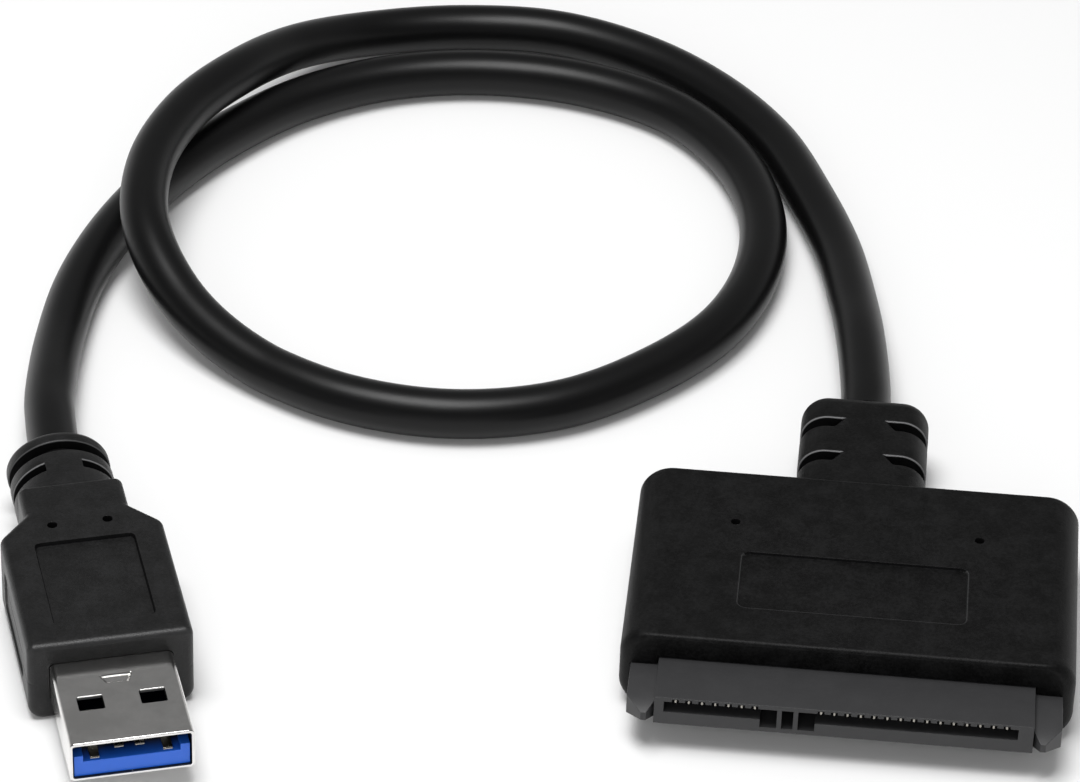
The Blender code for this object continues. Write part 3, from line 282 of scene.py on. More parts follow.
# %% [markdown]
# Materials are node trees, and node trees are hard to read as lists of links. So one
# small class wraps a socket: Python's own operators on it add Math nodes, and its method
# add makes any other node from its type, its settings and what its sockets hold.

# %% A socket that reads like a number
class Socket:
    """One output of a node tree."""

    def __init__(self, tree, output):
        self.tree = tree
        self.output = output

    def add(self, kind, settings, sockets, output=0):
        """Adds a node: first its settings, then the values or links of its sockets."""
        node = self.tree.nodes.new(kind)
        for name, value in settings.items():
            setattr(node, name, value)
        for name, value in sockets.items():
            if isinstance(value, Socket):
                self.tree.links.new(value.output, node.inputs[name])
            else:
                node.inputs[name].default_value = value
        return Socket(self.tree, node.outputs[output])

    def maths(self, operation, first, second=0.0):
        return self.add("ShaderNodeMath", {"operation": operation}, {0: first, 1: second})

    def __add__(self, other):
        return self.maths("ADD", self, other)

    def __sub__(self, other):
        return self.maths("SUBTRACT", self, other)

    def __rsub__(self, other):
        return self.maths("SUBTRACT", other, self)

    def __mul__(self, other):
        return self.maths("MULTIPLY", self, other)

    __radd__ = __add__
    __rmul__ = __mul__

    def step(self, low, high):
        """0 below low, 1 above high, and an eased slope between them."""
        limits = {"Value": self, "From Min": low, "From Max": high}
        return self.add("ShaderNodeMapRange", {"interpolation_type": "SMOOTHSTEP"}, limits)

    def blend(self, low, high):
        """The colour low where this is 0, and high where it is 1."""
        return self.add("ShaderNodeMix", {"data_type": "RGBA"}, {0: self, 6: low, 7: high}, output=2)


def noise(place, scale, detail=2.0, roughness=0.5):
    """Cloudy values from 0 to 1; the scale counts its lumps in each metre."""
    sockets = {"Vector": place, "Scale": scale, "Detail": detail, "Roughness": roughness}
    return place.add("ShaderNodeTexNoise", {}, sockets)


def start_material(name):
    """An empty Principled material: its shader node, and the Object coordinates."""
    made = bpy.data.materials.new(name)
    made.use_nodes = True
    tree = made.node_tree
    shader = tree.nodes["Principled BSDF"]
    place = tree.nodes.new("ShaderNodeTexCoord")
    return made, shader, Socket(tree, place.outputs["Object"])


def connect(shader, **links):
    """Links sockets into a shader's inputs, whose names are given with underscores."""
    for name, socket in links.items():
        socket.tree.links.new(socket.output, shader.inputs[name.replace("_", " ")])


def bump(height, distance):
    """A bump from a height that runs from 0 to 1, this deep in metres."""
    return height.add("ShaderNodeBump", {}, {"Height": height, "Distance": distance})


def coordinate(vector, axis):
    """One number out of a vector: 0 for x, 1 for y and 2 for z."""
    return vector.add("ShaderNodeSeparateXYZ", {}, {"Vector": vector}, output=axis)


def shade(red, green, blue):
    return (red, green, blue, 1.0)


def two_shades(colour, low, high):
    """A colour scaled by low and by high, and never brighter than white."""
    return [shade(*[min(1.0, channel * scale) for channel in colour]) for scale in (low, high)]


# %% [markdown]
# The black mouldings are soft PVC, shot into a spark-eroded mould. That gives a fine,
# even grain, which spreads highlights but leaves the black deep. The grain could be real
# geometry, but at a tenth of a millimetre a bump does the same for the light. A slower
# noise changes the roughness a little, as handling and mould release do. Rims and edges
# that catch the light are painted paler, as a painted highlight: a value on each point
# says how much. Slots and the walls of recesses take a black of their own, duller and
# deeper: painted shade where little light gets in.

# %% Moulded black plastic
# The colour of the painted highlights on rims and edges.
PAINTED_HIGHLIGHT_COLOUR = (0.18, 0.18, 0.183)


def moulded_black(name, base, rough, grain_depth, specular, varied):
    """Grained black; varied is how far its shade strays from the base, as a share of it."""
    made, shader, place = start_material(name)
    shader.inputs["Specular IOR Level"].default_value = specular
    grain = noise(place, 4600.0, 4.0, 0.65)
    specks = noise(place, 2600.0, 5.0, 0.75)
    clouds = noise(place, 420.0, 3.0, 0.6)
    mottle = (clouds * 0.4 + specks * 0.6).step(0.38, 0.66)
    tone = mottle.blend(*two_shades(base, 1 - varied, 1 + varied))
    painted_highlight = place.add("ShaderNodeAttribute", {"attribute_name": "painted_highlight"}, {}, output=2)
    connect(
        shader,
        Base_Color=painted_highlight.blend(tone, shade(*PAINTED_HIGHLIGHT_COLOUR)),
        Roughness=rough - 0.05 + clouds * 0.1,
        Normal=bump(grain, grain_depth),
    )
    return made


housing_black = moulded_black("housing_black", (0.003, 0.003, 0.0031), 0.5, 0.03 * MM, 0.16, 0.95)
grip_black = moulded_black("grip_black", (0.0034, 0.0034, 0.0036), 0.42, 0.03 * MM, 0.4, 0.95)
# Painted shade: a duller, deeper black for the walls and floors of slots and recesses.
painted_shade_black = moulded_black("painted_shade_black", (0.0028, 0.0028, 0.003), 0.6, 0.01 * MM, 0.1, 0.3)
connector_grey = moulded_black("connector_grey", (0.029, 0.029, 0.0303), 0.42, 0.0012 * MM, 0.38, 0.05)
print("moulded materials:", housing_black.name, grip_black.name, connector_grey.name)

# %% [markdown]
# The cord's jacket is extruded, not moulded: it is smoother and glossier than the ends,
# with a faint long waviness that breaks its highlight.

# %% Extruded jacket
def jacket_black():
    made, shader, place = start_material("jacket_black")
    shader.inputs["Specular IOR Level"].default_value = 0.25
    waves = noise(place, 260.0, 2.0, 0.5)
    specks = noise(place, 5200.0, 2.0, 0.5)
    connect(
        shader,
        Base_Color=waves.blend(shade(0.0024, 0.0024, 0.0025), shade(0.0036, 0.0036, 0.0038)),
        Roughness=0.32 + specks * 0.08,
        Normal=bump(specks * 0.25 + waves, 0.012 * MM),
    )
    return made


cord.data.materials.append(jacket_black())

# %% [markdown]
# The metals: the plug's shell is steel with a bright nickel plate, rolled before it was
# folded, and the contacts have a thin flash of gold that looks almost white in this light.
# Inside the shell, and deep in the drive connector's channels, the metals take painted shade: far darker
# copies of the same finishes.

# %% Plated metals
def plated(name, colour, rough, scratch):
    """Plated metal, with rolling marks of this depth along it and a slight stain."""
    made, shader, place = start_material(name)
    shader.inputs["Metallic"].default_value = 1.0
    stretched = place.add("ShaderNodeMapping", {}, {"Vector": place, "Scale": (9000.0, 260.0, 9000.0)})
    rolled = noise(stretched, 1.0, 2.0, 0.6)
    stains = noise(place, 350.0, 3.0, 0.6)
    connect(
        shader,
        Base_Color=stains.step(0.3, 0.7).blend(*two_shades(colour, 0.93, 1.04)),
        Roughness=rough + stains * 0.06,
        Normal=bump(rolled, scratch),
    )
    return made


nickel = plated("nickel", (0.82, 0.81, 0.795), 0.15, 0.0004 * MM)
# Painted shade: a near-black copy of the nickel for the inside of the shell.
nickel_painted_shade = plated("nickel_painted_shade", (0.08, 0.08, 0.08), 0.4, 0.0004 * MM)
gold_flash = plated("gold_flash", (0.92, 0.88, 0.78), 0.24, 0.0003 * MM)
# Painted shade: a darker copy of the gold for the drive contacts, deep in their channels.
gold_painted_shade = plated("gold_painted_shade", (0.42, 0.4, 0.36), 0.35, 0.0003 * MM)

# %% Smaller plain finishes
def moulded_plain(name, colour, rough):
    """A smooth moulding: one colour with a slight drift, and a faint skin."""
    made, shader, place = start_material(name)
    clouds = noise(place, 700.0, 3.0, 0.5)
    connect(
        shader,
        Base_Color=clouds.blend(*two_shades(colour, 0.92, 1.08)),
        Roughness=rough - 0.03 + clouds * 0.06,
        Normal=bump(clouds, 0.004 * MM),
    )
    return made


PLAIN_FINISHES = {
    "inner_plastic": ((0.55, 0.55, 0.52), 0.6),
    "blue_insulator": ((0.012, 0.085, 0.52), 0.32),
    "board_green": ((0.02, 0.16, 0.06), 0.35),
    "chip_black": ((0.02, 0.02, 0.022), 0.5),
    "ceramic_tan": ((0.45, 0.32, 0.2), 0.5),
    "wire_red": ((0.55, 0.02, 0.02), 0.4),
    "wire_grey": ((0.5, 0.5, 0.52), 0.4),
    "wire_white": ((0.8, 0.8, 0.8), 0.4),
    "wire_green": ((0.02, 0.3, 0.06), 0.4),
    "wire_black": ((0.02, 0.02, 0.02), 0.4),
}
finishes = {name: moulded_plain(name, *values) for name, values in PLAIN_FINISHES.items()}
finishes["black_moulding"] = housing_black
finishes["connector_plastic"] = connector_grey
finishes["plug_steel"] = nickel
finishes["contact_gold"] = gold_flash
slots = {part["node"]: part["material_slot"] for part in frame["record"]["subparts"]}
for node, piece in frame["nodes"].items():
    if slots[node] in finishes:
        piece.data.materials.clear()
        piece.data.materials.append(finishes[slots[node]])
print("nodes with a finish:", sum(slot in finishes for slot in slots.values()))

# %% [markdown]
# The two mouldings are lofts: one section after another along the piece, each a rounded
# rectangle with the same number of points. A point on a section is its place on the
# straight part plus a turn round the bend: x = sx (a - r) + r cos t, and the same for z
# with sin t. The places sx, sz and the angle t stay the same for all sections, so only
# the half width a, the half height b and the bend's radius r change along the piece.
# Lines are placed close together where a wall or a rounded lip needs them.

# %% Sections and where their lines lie
def lines(*parts):
    """All the places in the parts, in order, without repeats."""
    return np.unique(np.round(np.concatenate([np.atleast_1d(part) for part in parts]), 6))


def around(place, spread, count):
    return np.linspace(place - spread, place + spread, count)


def at_edges(near, far, spread, count, inner, inner_count):
    """Lines close together at both edges of a recess, and a few more just inside them."""
    inside = np.linspace(0.25 * MM, inner, inner_count)
    return lines(around(near, spread, count), around(far, spread, count), near + inside, far - inside)


def ends(recess, axis):
    """Where a recess begins and where it ends, along its moulding."""
    half = recess["half"][axis]
    return recess["centre"] - half, recess["centre"] + half


def mirrored(places):
    return np.concatenate([-np.asarray(places), places])


def ease(values, start, end):
    """0 at start, 1 at end, and t²(3 - 2t) between them."""
    t = np.clip((values - start) / (end - start), 0.0, 1.0)
    return t * t * (3.0 - 2.0 * t)


def corner_inset(distance, radius):
    """How far a round corner stands back from its side, this far from the end."""
    near = np.clip(radius - distance, 0.0, radius)
    return radius - np.sqrt(radius**2 - near**2)


def box_distance(u, v, half_u, half_v, corner):
    """Distance to a rounded rectangle round (0, 0), negative inside it."""
    du = np.abs(u) - (half_u - corner)
    dv = np.abs(v) - (half_v - corner)
    outside = np.hypot(np.maximum(du, 0.0), np.maximum(dv, 0.0))
    return outside + np.minimum(np.maximum(du, dv), 0.0) - corner


def section_template(top, side, bottom, bends):
    """Places sx, sz from -1 to 1 and the bend's angle, anticlockwise from the right side."""
    bend = np.linspace(0.0, 90.0, bends)
    parts = (
        (1.0, side, 0.0), (1.0, 1.0, bend),
        (top[::-1], 1.0, 90.0), (-1.0, 1.0, 90.0 + bend),
        (-1.0, side[::-1], 180.0), (-1.0, -1.0, 180.0 + bend),
        (bottom, -1.0, 270.0), (1.0, -1.0, 270.0 + bend),
    )
    rows = [np.stack(np.broadcast_arrays(*map(np.atleast_1d, part))) for part in parts]
    sx, sz, turn = np.hstack(rows)
    return sx, sz, np.radians(turn)


def sections(template, y, half_width, half_height, radius, bottom_radius=None):
    """A grid of points: one rounded rectangle at each y. Its lower bends may differ."""
    sx, sz, turn = template
    sizes = (half_width, half_height, radius, radius if bottom_radius is None else bottom_radius)
    half_width, half_height, above, below = (np.broadcast_to(v, y.shape)[:, None] for v in sizes)
    radius = np.where(sz > 0, above, below)
    x = sx * (half_width - radius) + radius * np.cos(turn)
    z = sz * (half_height - radius) + radius * np.sin(turn)
    return np.stack([x, np.broadcast_to(y[:, None], x.shape), z], axis=-1)


def sunk(depth, distance, slope, lip=0.03 * MM):
    """How far a recess sinks: all its depth a slope inside its outline, nothing past its lip."""
    return depth * (1.0 - ease(distance, -slope, lip))


def panel_distance(across, back, panel):
    """Distance to a panel's outline, negative inside it."""
    return box_distance(across, back - panel["centre"], *panel["half"], panel["corner"])


def top_depth(across, back, panel, mark):
    """How far a moulding's top sinks at a place: its panel and its two pin marks."""
    from_mark = np.hypot(np.abs(across) - mark["across"], back - mark["back"]) - mark["radius"]
    flat = sunk(panel["sink"], panel_distance(across, back, panel), panel["slope"], 0.02 * MM)
    return flat + sunk(mark["sink"], from_mark, mark["slope"])


def wall_quads(depth):
    """1 for quads whose corners sink by different depths: the walls round a recess, which take the painted
    shade.
    """
    pair = np.stack([depth[1:], depth[:-1]])
    four = np.concatenate([pair, np.roll(pair, -1, axis=2)])
    return (four.max(axis=0) - four.min(axis=0) > 0.03 * MM).astype(int)


print("lines at a panel's edge:", len(at_edges(0.0, 9 * MM, 0.18 * MM, 9, 0.95 * MM, 8)))

# %% [markdown]
# Both ends hold the cord in a stem with slots across it, so that it bends softly. A stem is
# a row of stations: its place, how far it is pulled in towards an oval core, how much
# painted highlight its rim takes, and one more value that each stem uses in its own way.
# A thin sleeve closes the stem round the cord.

# %% Stems with slots
PULL_TO_CORE = 1.0
CUT_FROM = 0.22 * MM
HIGHLIGHT_FROM = 0.03 * MM
SLEEVE_STEPS = (
    (1.16, -0.02 * MM), (1.04, 0.1 * MM), (1.012, 0.2 * MM),
    (1.008, 0.72 * MM), (0.99, 0.72 * MM), (0.99, -1.0 * MM),
)


def pull_in(points, pull, core_across, core_up, blunt=None):
    """Pulls points towards the middle, by pull at most, and no further than an oval core.

    blunt is half the width of a bridge that stays whole, with straight walls.
    """
    x, z = points[..., 0], points[..., 2]
    reach = np.hypot(x, z)
    share = 1.0 / np.maximum(np.hypot(x / core_across, z / core_up), 1.0)
    depth = np.minimum(pull[:, None], reach * (1.0 - share))
    if blunt is not None:
        depth = depth * ease(np.abs(x), blunt - 0.03 * MM, blunt + 0.03 * MM)
    scale = 1.0 - depth / reach
    return points * np.stack([scale, np.ones_like(scale), scale], axis=-1)


def slot_stations(start, end, lip):
    """Four rows: places along a stem, their pull, their painted highlight, and zeros.

    A slot has a rounded lip, a wall and a floor. Its rear lip takes the painted highlight.
    """
    turn = np.linspace(0.0, math.pi / 2, 5)
    out = lip * (1.0 - np.sin(turn))
    pull = lip * (1.0 - np.cos(turn))
    y = np.concatenate([start - out, [start, end], end + out[::-1]])
    pull = np.concatenate([pull, [PULL_TO_CORE, PULL_TO_CORE], pull[::-1]])
    # Painted highlight on the slot's rear lip, paler where it catches the light.
    rim_highlight = np.concatenate([np.zeros(8), [0.7, 1.0, 0.4, 0.0]])
    return np.stack([y, pull, rim_highlight, np.zeros_like(y)])


def plain_stations(y):
    """The same four rows for places where nothing is cut."""
    return np.pad([np.asarray(y)], ((0, 3), (0, 0)))


def cord_sleeve(last_ring, end):
    """Rings that close a stem round the cord: a thin lip, then a step inwards.

    A step is its radius, counted in radii of the cord, and its place behind the end.
    """
    outwards = last_ring * (1.0, 0.0, 1.0)
    outwards /= np.linalg.norm(outwards, axis=1, keepdims=True)
    radius, behind = np.transpose(SLEEVE_STEPS)[:, :, None, None]
    return outwards * radius * CORD_DIAMETER / 2 + (end + behind) * np.array([0.0, 1.0, 0.0])


def stem_with_sleeve(whole, cut, rim_highlight, end):
    """A cut stem's rings with their sleeve, the quads' looks and each point's painted highlight.

    The walls and floors of slots get look 1, the painted shade. A station's painted highlight
    counts only where its slot really cuts into the surface.
    """
    moved = np.linalg.norm(cut - whole, axis=-1)
    pair = (moved[1:] > CUT_FROM) | (moved[:-1] > CUT_FROM)
    looks = (pair | np.roll(pair, -1, axis=1)).astype(int)
    painted_highlight = rim_highlight[:, None] * np.clip(moved / HIGHLIGHT_FROM, 0.0, 1.0)
    sleeve = cord_sleeve(cut[-1], end)
    more = ((0, len(sleeve)), (0, 0))
    return np.concatenate([cut, sleeve]), np.pad(looks, more), np.pad(painted_highlight, more)


print("stations of one slot:", slot_stations(0.0, 1.4 * MM, 0.2 * MM).shape[1])

# %% [markdown]
# The drive end's moulding is a flat block with round edges. Its top has a shallow sunk
# panel, which stays bare here, and two deep marks where pins held the inside in the mould.
# Both are cut into the grid of points by a distance: how far a point lies inside the
# panel's outline, or inside the mark's circle, says how deep it sinks. The neck's slots
# are cut in from both sides and taper to a point towards its middle: there, the stations
# of a slot's front wall slide back to meet its rear one.

# %% Sizes of the drive end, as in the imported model
FACE_Y = -24.55 * MM
HOUSING_FRONT = -18.55 * MM
HOUSING_DEPTH = 27.5 * MM
HOUSING_HALF_WIDTH = 22.05 * MM
DRIVE_Z = 4.5 * MM
HOUSING_EDGE = 2.8 * MM
FRONT_CORNER = 1.3 * MM
REAR_CORNER = 1.25 * MM
HOUSING_FILLET = 0.45 * MM
PANEL = {
    "centre": 9.95 * MM, "half": (11.15 * MM, 4.45 * MM),
    "corner": 0.9 * MM, "sink": 0.25 * MM, "slope": 0.1 * MM,
}
PANEL_EDGE_HIGHLIGHT = 0.2
PIN_MARK = {
    "across": 12.1 * MM, "back": 19.1 * MM,
    "radius": 0.45 * MM, "sink": 0.75 * MM, "slope": 0.1 * MM,
}
NECK_HALF = (6.55 * MM, 4.0 * MM)
NECK_END_CORNER = 2.2 * MM
NECK_FILLET = 2.2 * MM
NECK_EDGE = 2.8 * MM
NECK_LEAST_BEND = 0.8 * MM
NECK_END_BACK = 0.4 * MM
NECK_SLOT_FIRST = 4.6 * MM
NECK_SLOT_PITCH = 5.8 * MM
NECK_SLOT_HALF = 0.72 * MM
NECK_SLOT_SLIDE = 1.9 * NECK_SLOT_HALF
NECK_SLOT_TAPER = (1.9 * MM, 3.3 * MM)
NECK_CORE = (3.75 * MM, 4.85 * MM)
CONNECTOR_HALF = 18.2 * MM
CONNECTOR_Z = (3.1 * MM, 6.3 * MM)
EAR_WIDTH = 2.7 * MM
EAR_Z = (3.25 * MM, 5.45 * MM)
SEAT_GAP = 0.15 * MM
SEAT_DEPTH = 1.5 * MM
LIP = 0.2 * MM


def rectangle_hit(points, middle, half_width, low, high):
    """How many times longer a ray from the middle must be to reach a rectangle's side."""
    x = points[:, 0] - middle[0]
    z = points[:, 2] - middle[2]
    tiny = 1e-12
    sideways = half_width / np.maximum(np.abs(x), tiny)
    upright = np.where(z > 0, high - middle[2], middle[2] - low) / np.maximum(np.abs(z), tiny)
    return np.minimum(sideways, upright)


def connector_opening(ring):
    """The ring of points drawn in to the opening for the connector and its two ears."""
    middle = np.array([0.0, ring[0, 1], 4.7 * MM])
    half = CONNECTOR_HALF + SEAT_GAP
    low, high = CONNECTOR_Z[0] - SEAT_GAP, CONNECTOR_Z[1] + SEAT_GAP
    ear_half = CONNECTOR_HALF + EAR_WIDTH + SEAT_GAP
    ear_low, ear_high = EAR_Z[0] - SEAT_GAP, EAR_Z[1] + SEAT_GAP
    body = rectangle_hit(ring, middle, half, low, high)
    ears = rectangle_hit(ring, middle, ear_half, ear_low, ear_high)
    opening = middle + (ring - middle) * np.maximum(body, ears)[:, None]
    steps = (
        (half, low), (half, ear_low), (ear_half, ear_low),
        (ear_half, ear_high), (half, ear_high), (half, high),
    )
    corners = np.array([(side * x, ring[0, 1], z) for side in (-1, 1) for x, z in steps])
    toward = np.arctan2(opening[:, 2] - middle[2], opening[:, 0])
    wanted = np.arctan2(corners[:, 2] - middle[2], corners[:, 0])
    nearest = np.abs(toward[None] - wanted[:, None]).argmin(axis=1)
    opening[nearest] = corners
    return opening


def housing_lines(straight):
    """Where the lines lie: across the top, from -1 to 1, and from the front face back."""
    near, far = ends(PANEL, 1)
    right = lines(
        np.linspace(1, 10, 8) * MM, np.linspace(10.2, 10.9, 8) * MM,
        around(PANEL["half"][0], 0.18 * MM, 9),
        around(PIN_MARK["across"], 0.6 * MM, 37), np.linspace(13.5, 19.25, 6) * MM,
    )
    turn = np.linspace(0.0, math.pi / 2, 13)
    back = lines(
        FRONT_CORNER * (1.0 - np.cos(turn)), HOUSING_DEPTH - REAR_CORNER * (1.0 - np.cos(turn)),
        np.linspace(1.6, 5.2, 5) * MM, at_edges(near, far, 0.18 * MM, 9, 0.95 * MM, 8),
        np.linspace(near + 2 * MM, far - 2 * MM, 5), np.linspace(15, 18.4, 4) * MM,
        around(PIN_MARK["back"], 0.6 * MM, 37), np.linspace(20.2, 25.4, 6) * MM,
    )
    return lines(0.0, mirrored(right[right < straight])) / straight, back


def add_housing_body(shape):
    top, back = housing_lines(HOUSING_HALF_WIDTH - HOUSING_EDGE)
    template = section_template(top, np.linspace(-0.85, 0.85, 9), np.linspace(-0.95, 0.95, 12), 11)
    ahead = HOUSING_DEPTH - back
    rise = corner_inset(back, HOUSING_FILLET) + corner_inset(ahead, HOUSING_FILLET)
    inset = corner_inset(back, FRONT_CORNER) + corner_inset(ahead, REAR_CORNER)
    points = sections(
        template, HOUSING_FRONT + back, HOUSING_HALF_WIDTH - inset, DRIVE_Z - rise, HOUSING_EDGE - rise,
    )
    across, behind = points[..., 0], points[..., 1] - HOUSING_FRONT
    on_top = template[1] * np.isclose(template[2], math.pi / 2) > 0.5
    depth = top_depth(across, behind, PANEL, PIN_MARK) * on_top
    points[..., 2] += DRIVE_Z - depth
    opening = connector_opening(points[0])
    mouth = opening + (0.0, SEAT_DEPTH, 0.0)
    from_panel = panel_distance(across, behind, PANEL)
    # Painted highlight: the panel's front and side edges are painted paler, for the light they catch.
    edge = PANEL_EDGE_HIGHLIGHT * np.exp(-((from_panel / (0.06 * MM)) ** 2)) * on_top
    edge *= behind < PANEL["centre"] + PANEL["half"][1] - 0.3 * MM
    before = ((2, 0), (0, 0))
    rings = np.concatenate([[mouth, opening], points])
    # The walls of the panel and the pin marks take look 1, the painted shade black.
    shape.grid(rings, look=np.pad(wall_quads(depth), before), painted_highlight=np.pad(edge, before))
    shape.cap(points[-1])


def neck_stations(length):
    """The neck's stations, whose fourth row says how far they slide back in the middle."""
    parts = [plain_stations([-1.0 * MM, 0.0, 1.5 * MM, 3.0 * MM])]
    for number in range(2):
        centre = NECK_SLOT_FIRST + number * NECK_SLOT_PITCH
        slot = slot_stations(centre - NECK_SLOT_HALF, centre + NECK_SLOT_HALF, LIP)
        slot[3, :6] = NECK_SLOT_SLIDE
        parts += [slot, plain_stations([centre + 2.2 * MM])]
    turn = np.linspace(0.0, math.radians(78.0), 12)
    parts.append(plain_stations(length - NECK_END_CORNER * (1.0 - np.sin(turn))))
    return np.hstack(parts)


def add_neck(shape):
    half_width, half_height = NECK_HALF
    rear = HOUSING_FRONT + HOUSING_DEPTH
    length = NECK_END[1] - rear - NECK_END_BACK
    y, pull, rim_highlight, slide = neck_stations(length)
    across = np.linspace(-0.97, 0.97, 31)
    template = section_template(across, np.linspace(-0.8, 0.8, 5), across, 13)
    rise = corner_inset(length - y, NECK_FILLET)
    points = sections(
        template, rear + y, half_width - corner_inset(length - y, NECK_END_CORNER),
        half_height - rise, np.maximum(NECK_EDGE - rise, NECK_LEAST_BEND),
    )
    points[..., 1] += slide[:, None] * (1.0 - ease(np.abs(points[..., 0]), *NECK_SLOT_TAPER))
    cut = pull_in(points, pull, *NECK_CORE)
    rings, looks, painted_highlight = stem_with_sleeve(points, cut, rim_highlight, rear + length)
    shape.grid(rings + (0.0, 0.0, DRIVE_Z), look=looks, painted_highlight=painted_highlight)


def make_housing():
    shape = Surface()
    add_housing_body(shape)
    add_neck(shape)
    moulding = shape.build("drive_moulding")
    stand_in(moulding, "sata_housing", "black_moulding", housing_black, painted_shade_black)


make_housing()

# %% [markdown]
# The plug's grip is made in the plug's own frame, nose at y = 0, and carried to its place
# at the end. Along it the half width is a plain table of corners, so the chamfers behind
# the finger pads would be knife-sharp. A moving average over half a millimetre rounds
# them as the real mould does.

# %% Sizes of the plug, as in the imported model
SHELL_EXPOSED = 12.3 * MM
GRIP_HALF = (8.1 * MM, 4.45 * MM)
GRIP_STRAIGHT = 17.9 * MM
GRIP_CHAMFER = 3.2 * MM
COLLAR_HALF = 5.25 * MM
COLLAR_LENGTH = 4.5 * MM
GRIP_RADII = (0.9 * MM, 1.5 * MM)
GRIP_FILLET = 0.7 * MM
COLLAR_FILLET = 0.45 * MM
GRIP_PANEL = {
    "centre": 9.65 * MM, "half": (4.95 * MM, 6.55 * MM),
    "corner": 0.6 * MM, "sink": 0.38 * MM, "slope": 0.07 * MM,
}
GRIP_MARK = {
    "across": 2.75 * MM, "back": 18.9 * MM,
    "radius": 0.48 * MM, "sink": 1.0 * MM, "slope": 0.12 * MM,
}
GRIP_PAD = {"centre": 9.5 * MM, "half": (6.0 * MM, 2.3 * MM), "corner": 1.2 * MM, "sink": 0.2 * MM}
GRIP_EDGE_HIGHLIGHT = 0.1
PARTING_DEPTH = 0.05 * MM
MOUTH_BEND = 0.56 * MM
SHELL_HALF = (6.0 * MM, 2.25 * MM)
RELIEF_HALF = (5.25 * MM, 4.3 * MM)
RELIEF_LENGTH = 9.3 * MM
RELIEF_CORE = 3.3 * MM
RELIEF_BRIDGE = 1.9 * MM
RELIEF_SLOT = (2.9 * MM, 4.1 * MM)
RELIEF_GROOVE = (5.7 * MM, 7.2 * MM)
RELIEF_END_ROUND = 1.1 * MM
RELIEF_LIP = 0.8 * LIP
GROOVE_HIGHLIGHT = 0.35


def softened(places, corners, values, spread):
    """Straight lines between the corners, averaged over a short stretch round each place."""
    shifts = np.linspace(-spread, spread, 9)
    return np.mean([np.interp(places + shift, corners, values) for shift in shifts], axis=0)


def grip_template(straight):
    """Lines across the grip: close together at the panel's edge and round the pin marks."""
    right = lines(
        np.linspace(0.8, 2.0, 3) * MM, around(3.18 * MM, 0.8 * MM, 49), 4.15 * MM,
        np.linspace(4.35, 4.75, 5) * MM, around(GRIP_PANEL["half"][0], 0.18 * MM, 9),
        np.linspace(5.5, 7.0, 4) * MM,
    )
    upper = lines([0.012, 0.025, 0.04, 0.2, 0.4, 0.5, 0.92], around(0.66, 0.06, 9), around(0.78, 0.05, 7))
    top, side = lines(0.0, mirrored(right)) / straight, lines(0.0, mirrored(upper))
    return section_template(top, side, np.linspace(-0.95, 0.95, 14), 10)


def grip_stations(chamfer_end, end):
    """Places along the grip, from its front face back."""
    turn = np.linspace(0.0, math.pi / 2, 9)
    return lines(
        GRIP_FILLET * (1.0 - np.cos(turn)), end - COLLAR_FILLET * (1.0 - np.cos(turn)),
        1.2 * MM, 2.2 * MM, at_edges(*ends(GRIP_PANEL, 1), 0.18 * MM, 9, 0.7 * MM, 5),
        at_edges(*ends(GRIP_PAD, 0), 0.15 * MM, 5, 1.2 * MM, 5),
        np.linspace(5.5, 13.5, 7) * MM, around(GRIP_MARK["back"], 0.63 * MM, 39),
        around(GRIP_STRAIGHT, 0.35 * MM, 9), around(chamfer_end, 0.35 * MM, 9),
        [20.2 * MM, 22.5 * MM, 24.0 * MM],
    )


def add_grip(shape):
    half_width, half_height = GRIP_HALF
    chamfer_end = GRIP_STRAIGHT + GRIP_CHAMFER
    end = chamfer_end + COLLAR_LENGTH
    template = grip_template(half_width - GRIP_RADII[0])
    back = grip_stations(chamfer_end, end)
    corners = [0.0, GRIP_STRAIGHT, chamfer_end, end + MM]
    width = softened(back, corners, [half_width, half_width, COLLAR_HALF, COLLAR_HALF], 0.28 * MM)
    inset = corner_inset(back, GRIP_FILLET) + corner_inset(end - back, COLLAR_FILLET)
    bends = [np.maximum(radius - inset, 0.2 * MM) for radius in GRIP_RADII]
    points = sections(template, SHELL_EXPOSED + back, width - inset, half_height - inset, *bends)
    across, behind, up = points[..., 0], points[..., 1] - SHELL_EXPOSED, points[..., 2]
    on_top = np.isclose(template[2], math.pi / 2) & (template[1] > 0)
    on_side = np.isclose(np.abs(template[0]), 1.0) & np.isclose(np.sin(template[2]), 0.0)
    depth = top_depth(across, behind, GRIP_PANEL, GRIP_MARK) * on_top
    from_pad = box_distance(behind - GRIP_PAD["centre"], up, *GRIP_PAD["half"], GRIP_PAD["corner"])
    pad = sunk(GRIP_PAD["sink"], from_pad, 0.12 * MM)
    parting = PARTING_DEPTH * np.exp(-((up / (0.07 * MM)) ** 2)) * ease(behind, 0.0, 0.05 * MM)
    points[..., 0] -= np.sign(across) * (pad + parting) * on_side
    points[..., 2] -= depth
    flare = np.array([0.0, 0.0, 0.04]) * MM
    wide, high = (half + 0.02 * MM + flare for half in SHELL_HALF)
    mouth_y = SHELL_EXPOSED + np.array([1.3, 0.04, 0.0]) * MM
    mouth = sections(template, mouth_y, wide, high, MOUTH_BEND + flare)
    rings = np.concatenate([mouth, points]) + (0.0, 0.0, PLUG_Z)
    # Painted highlight: the grip's front top edge is painted paler, for the light it catches.
    on_edge = np.exp(-((behind - 0.25 * MM) / (0.3 * MM)) ** 2) * ease(up, 3.2 * MM, 4.1 * MM)
    before = ((len(mouth), 0), (0, 0))
    # The walls of the panel and the pin marks take look 1, the painted shade black.
    looks, painted_highlight = np.pad(wall_quads(depth), before), np.pad(GRIP_EDGE_HIGHLIGHT * on_edge, before)
    shape.grid(plug_world(rings), look=looks, painted_highlight=painted_highlight)
    shape.cap(plug_world(rings[-1]))


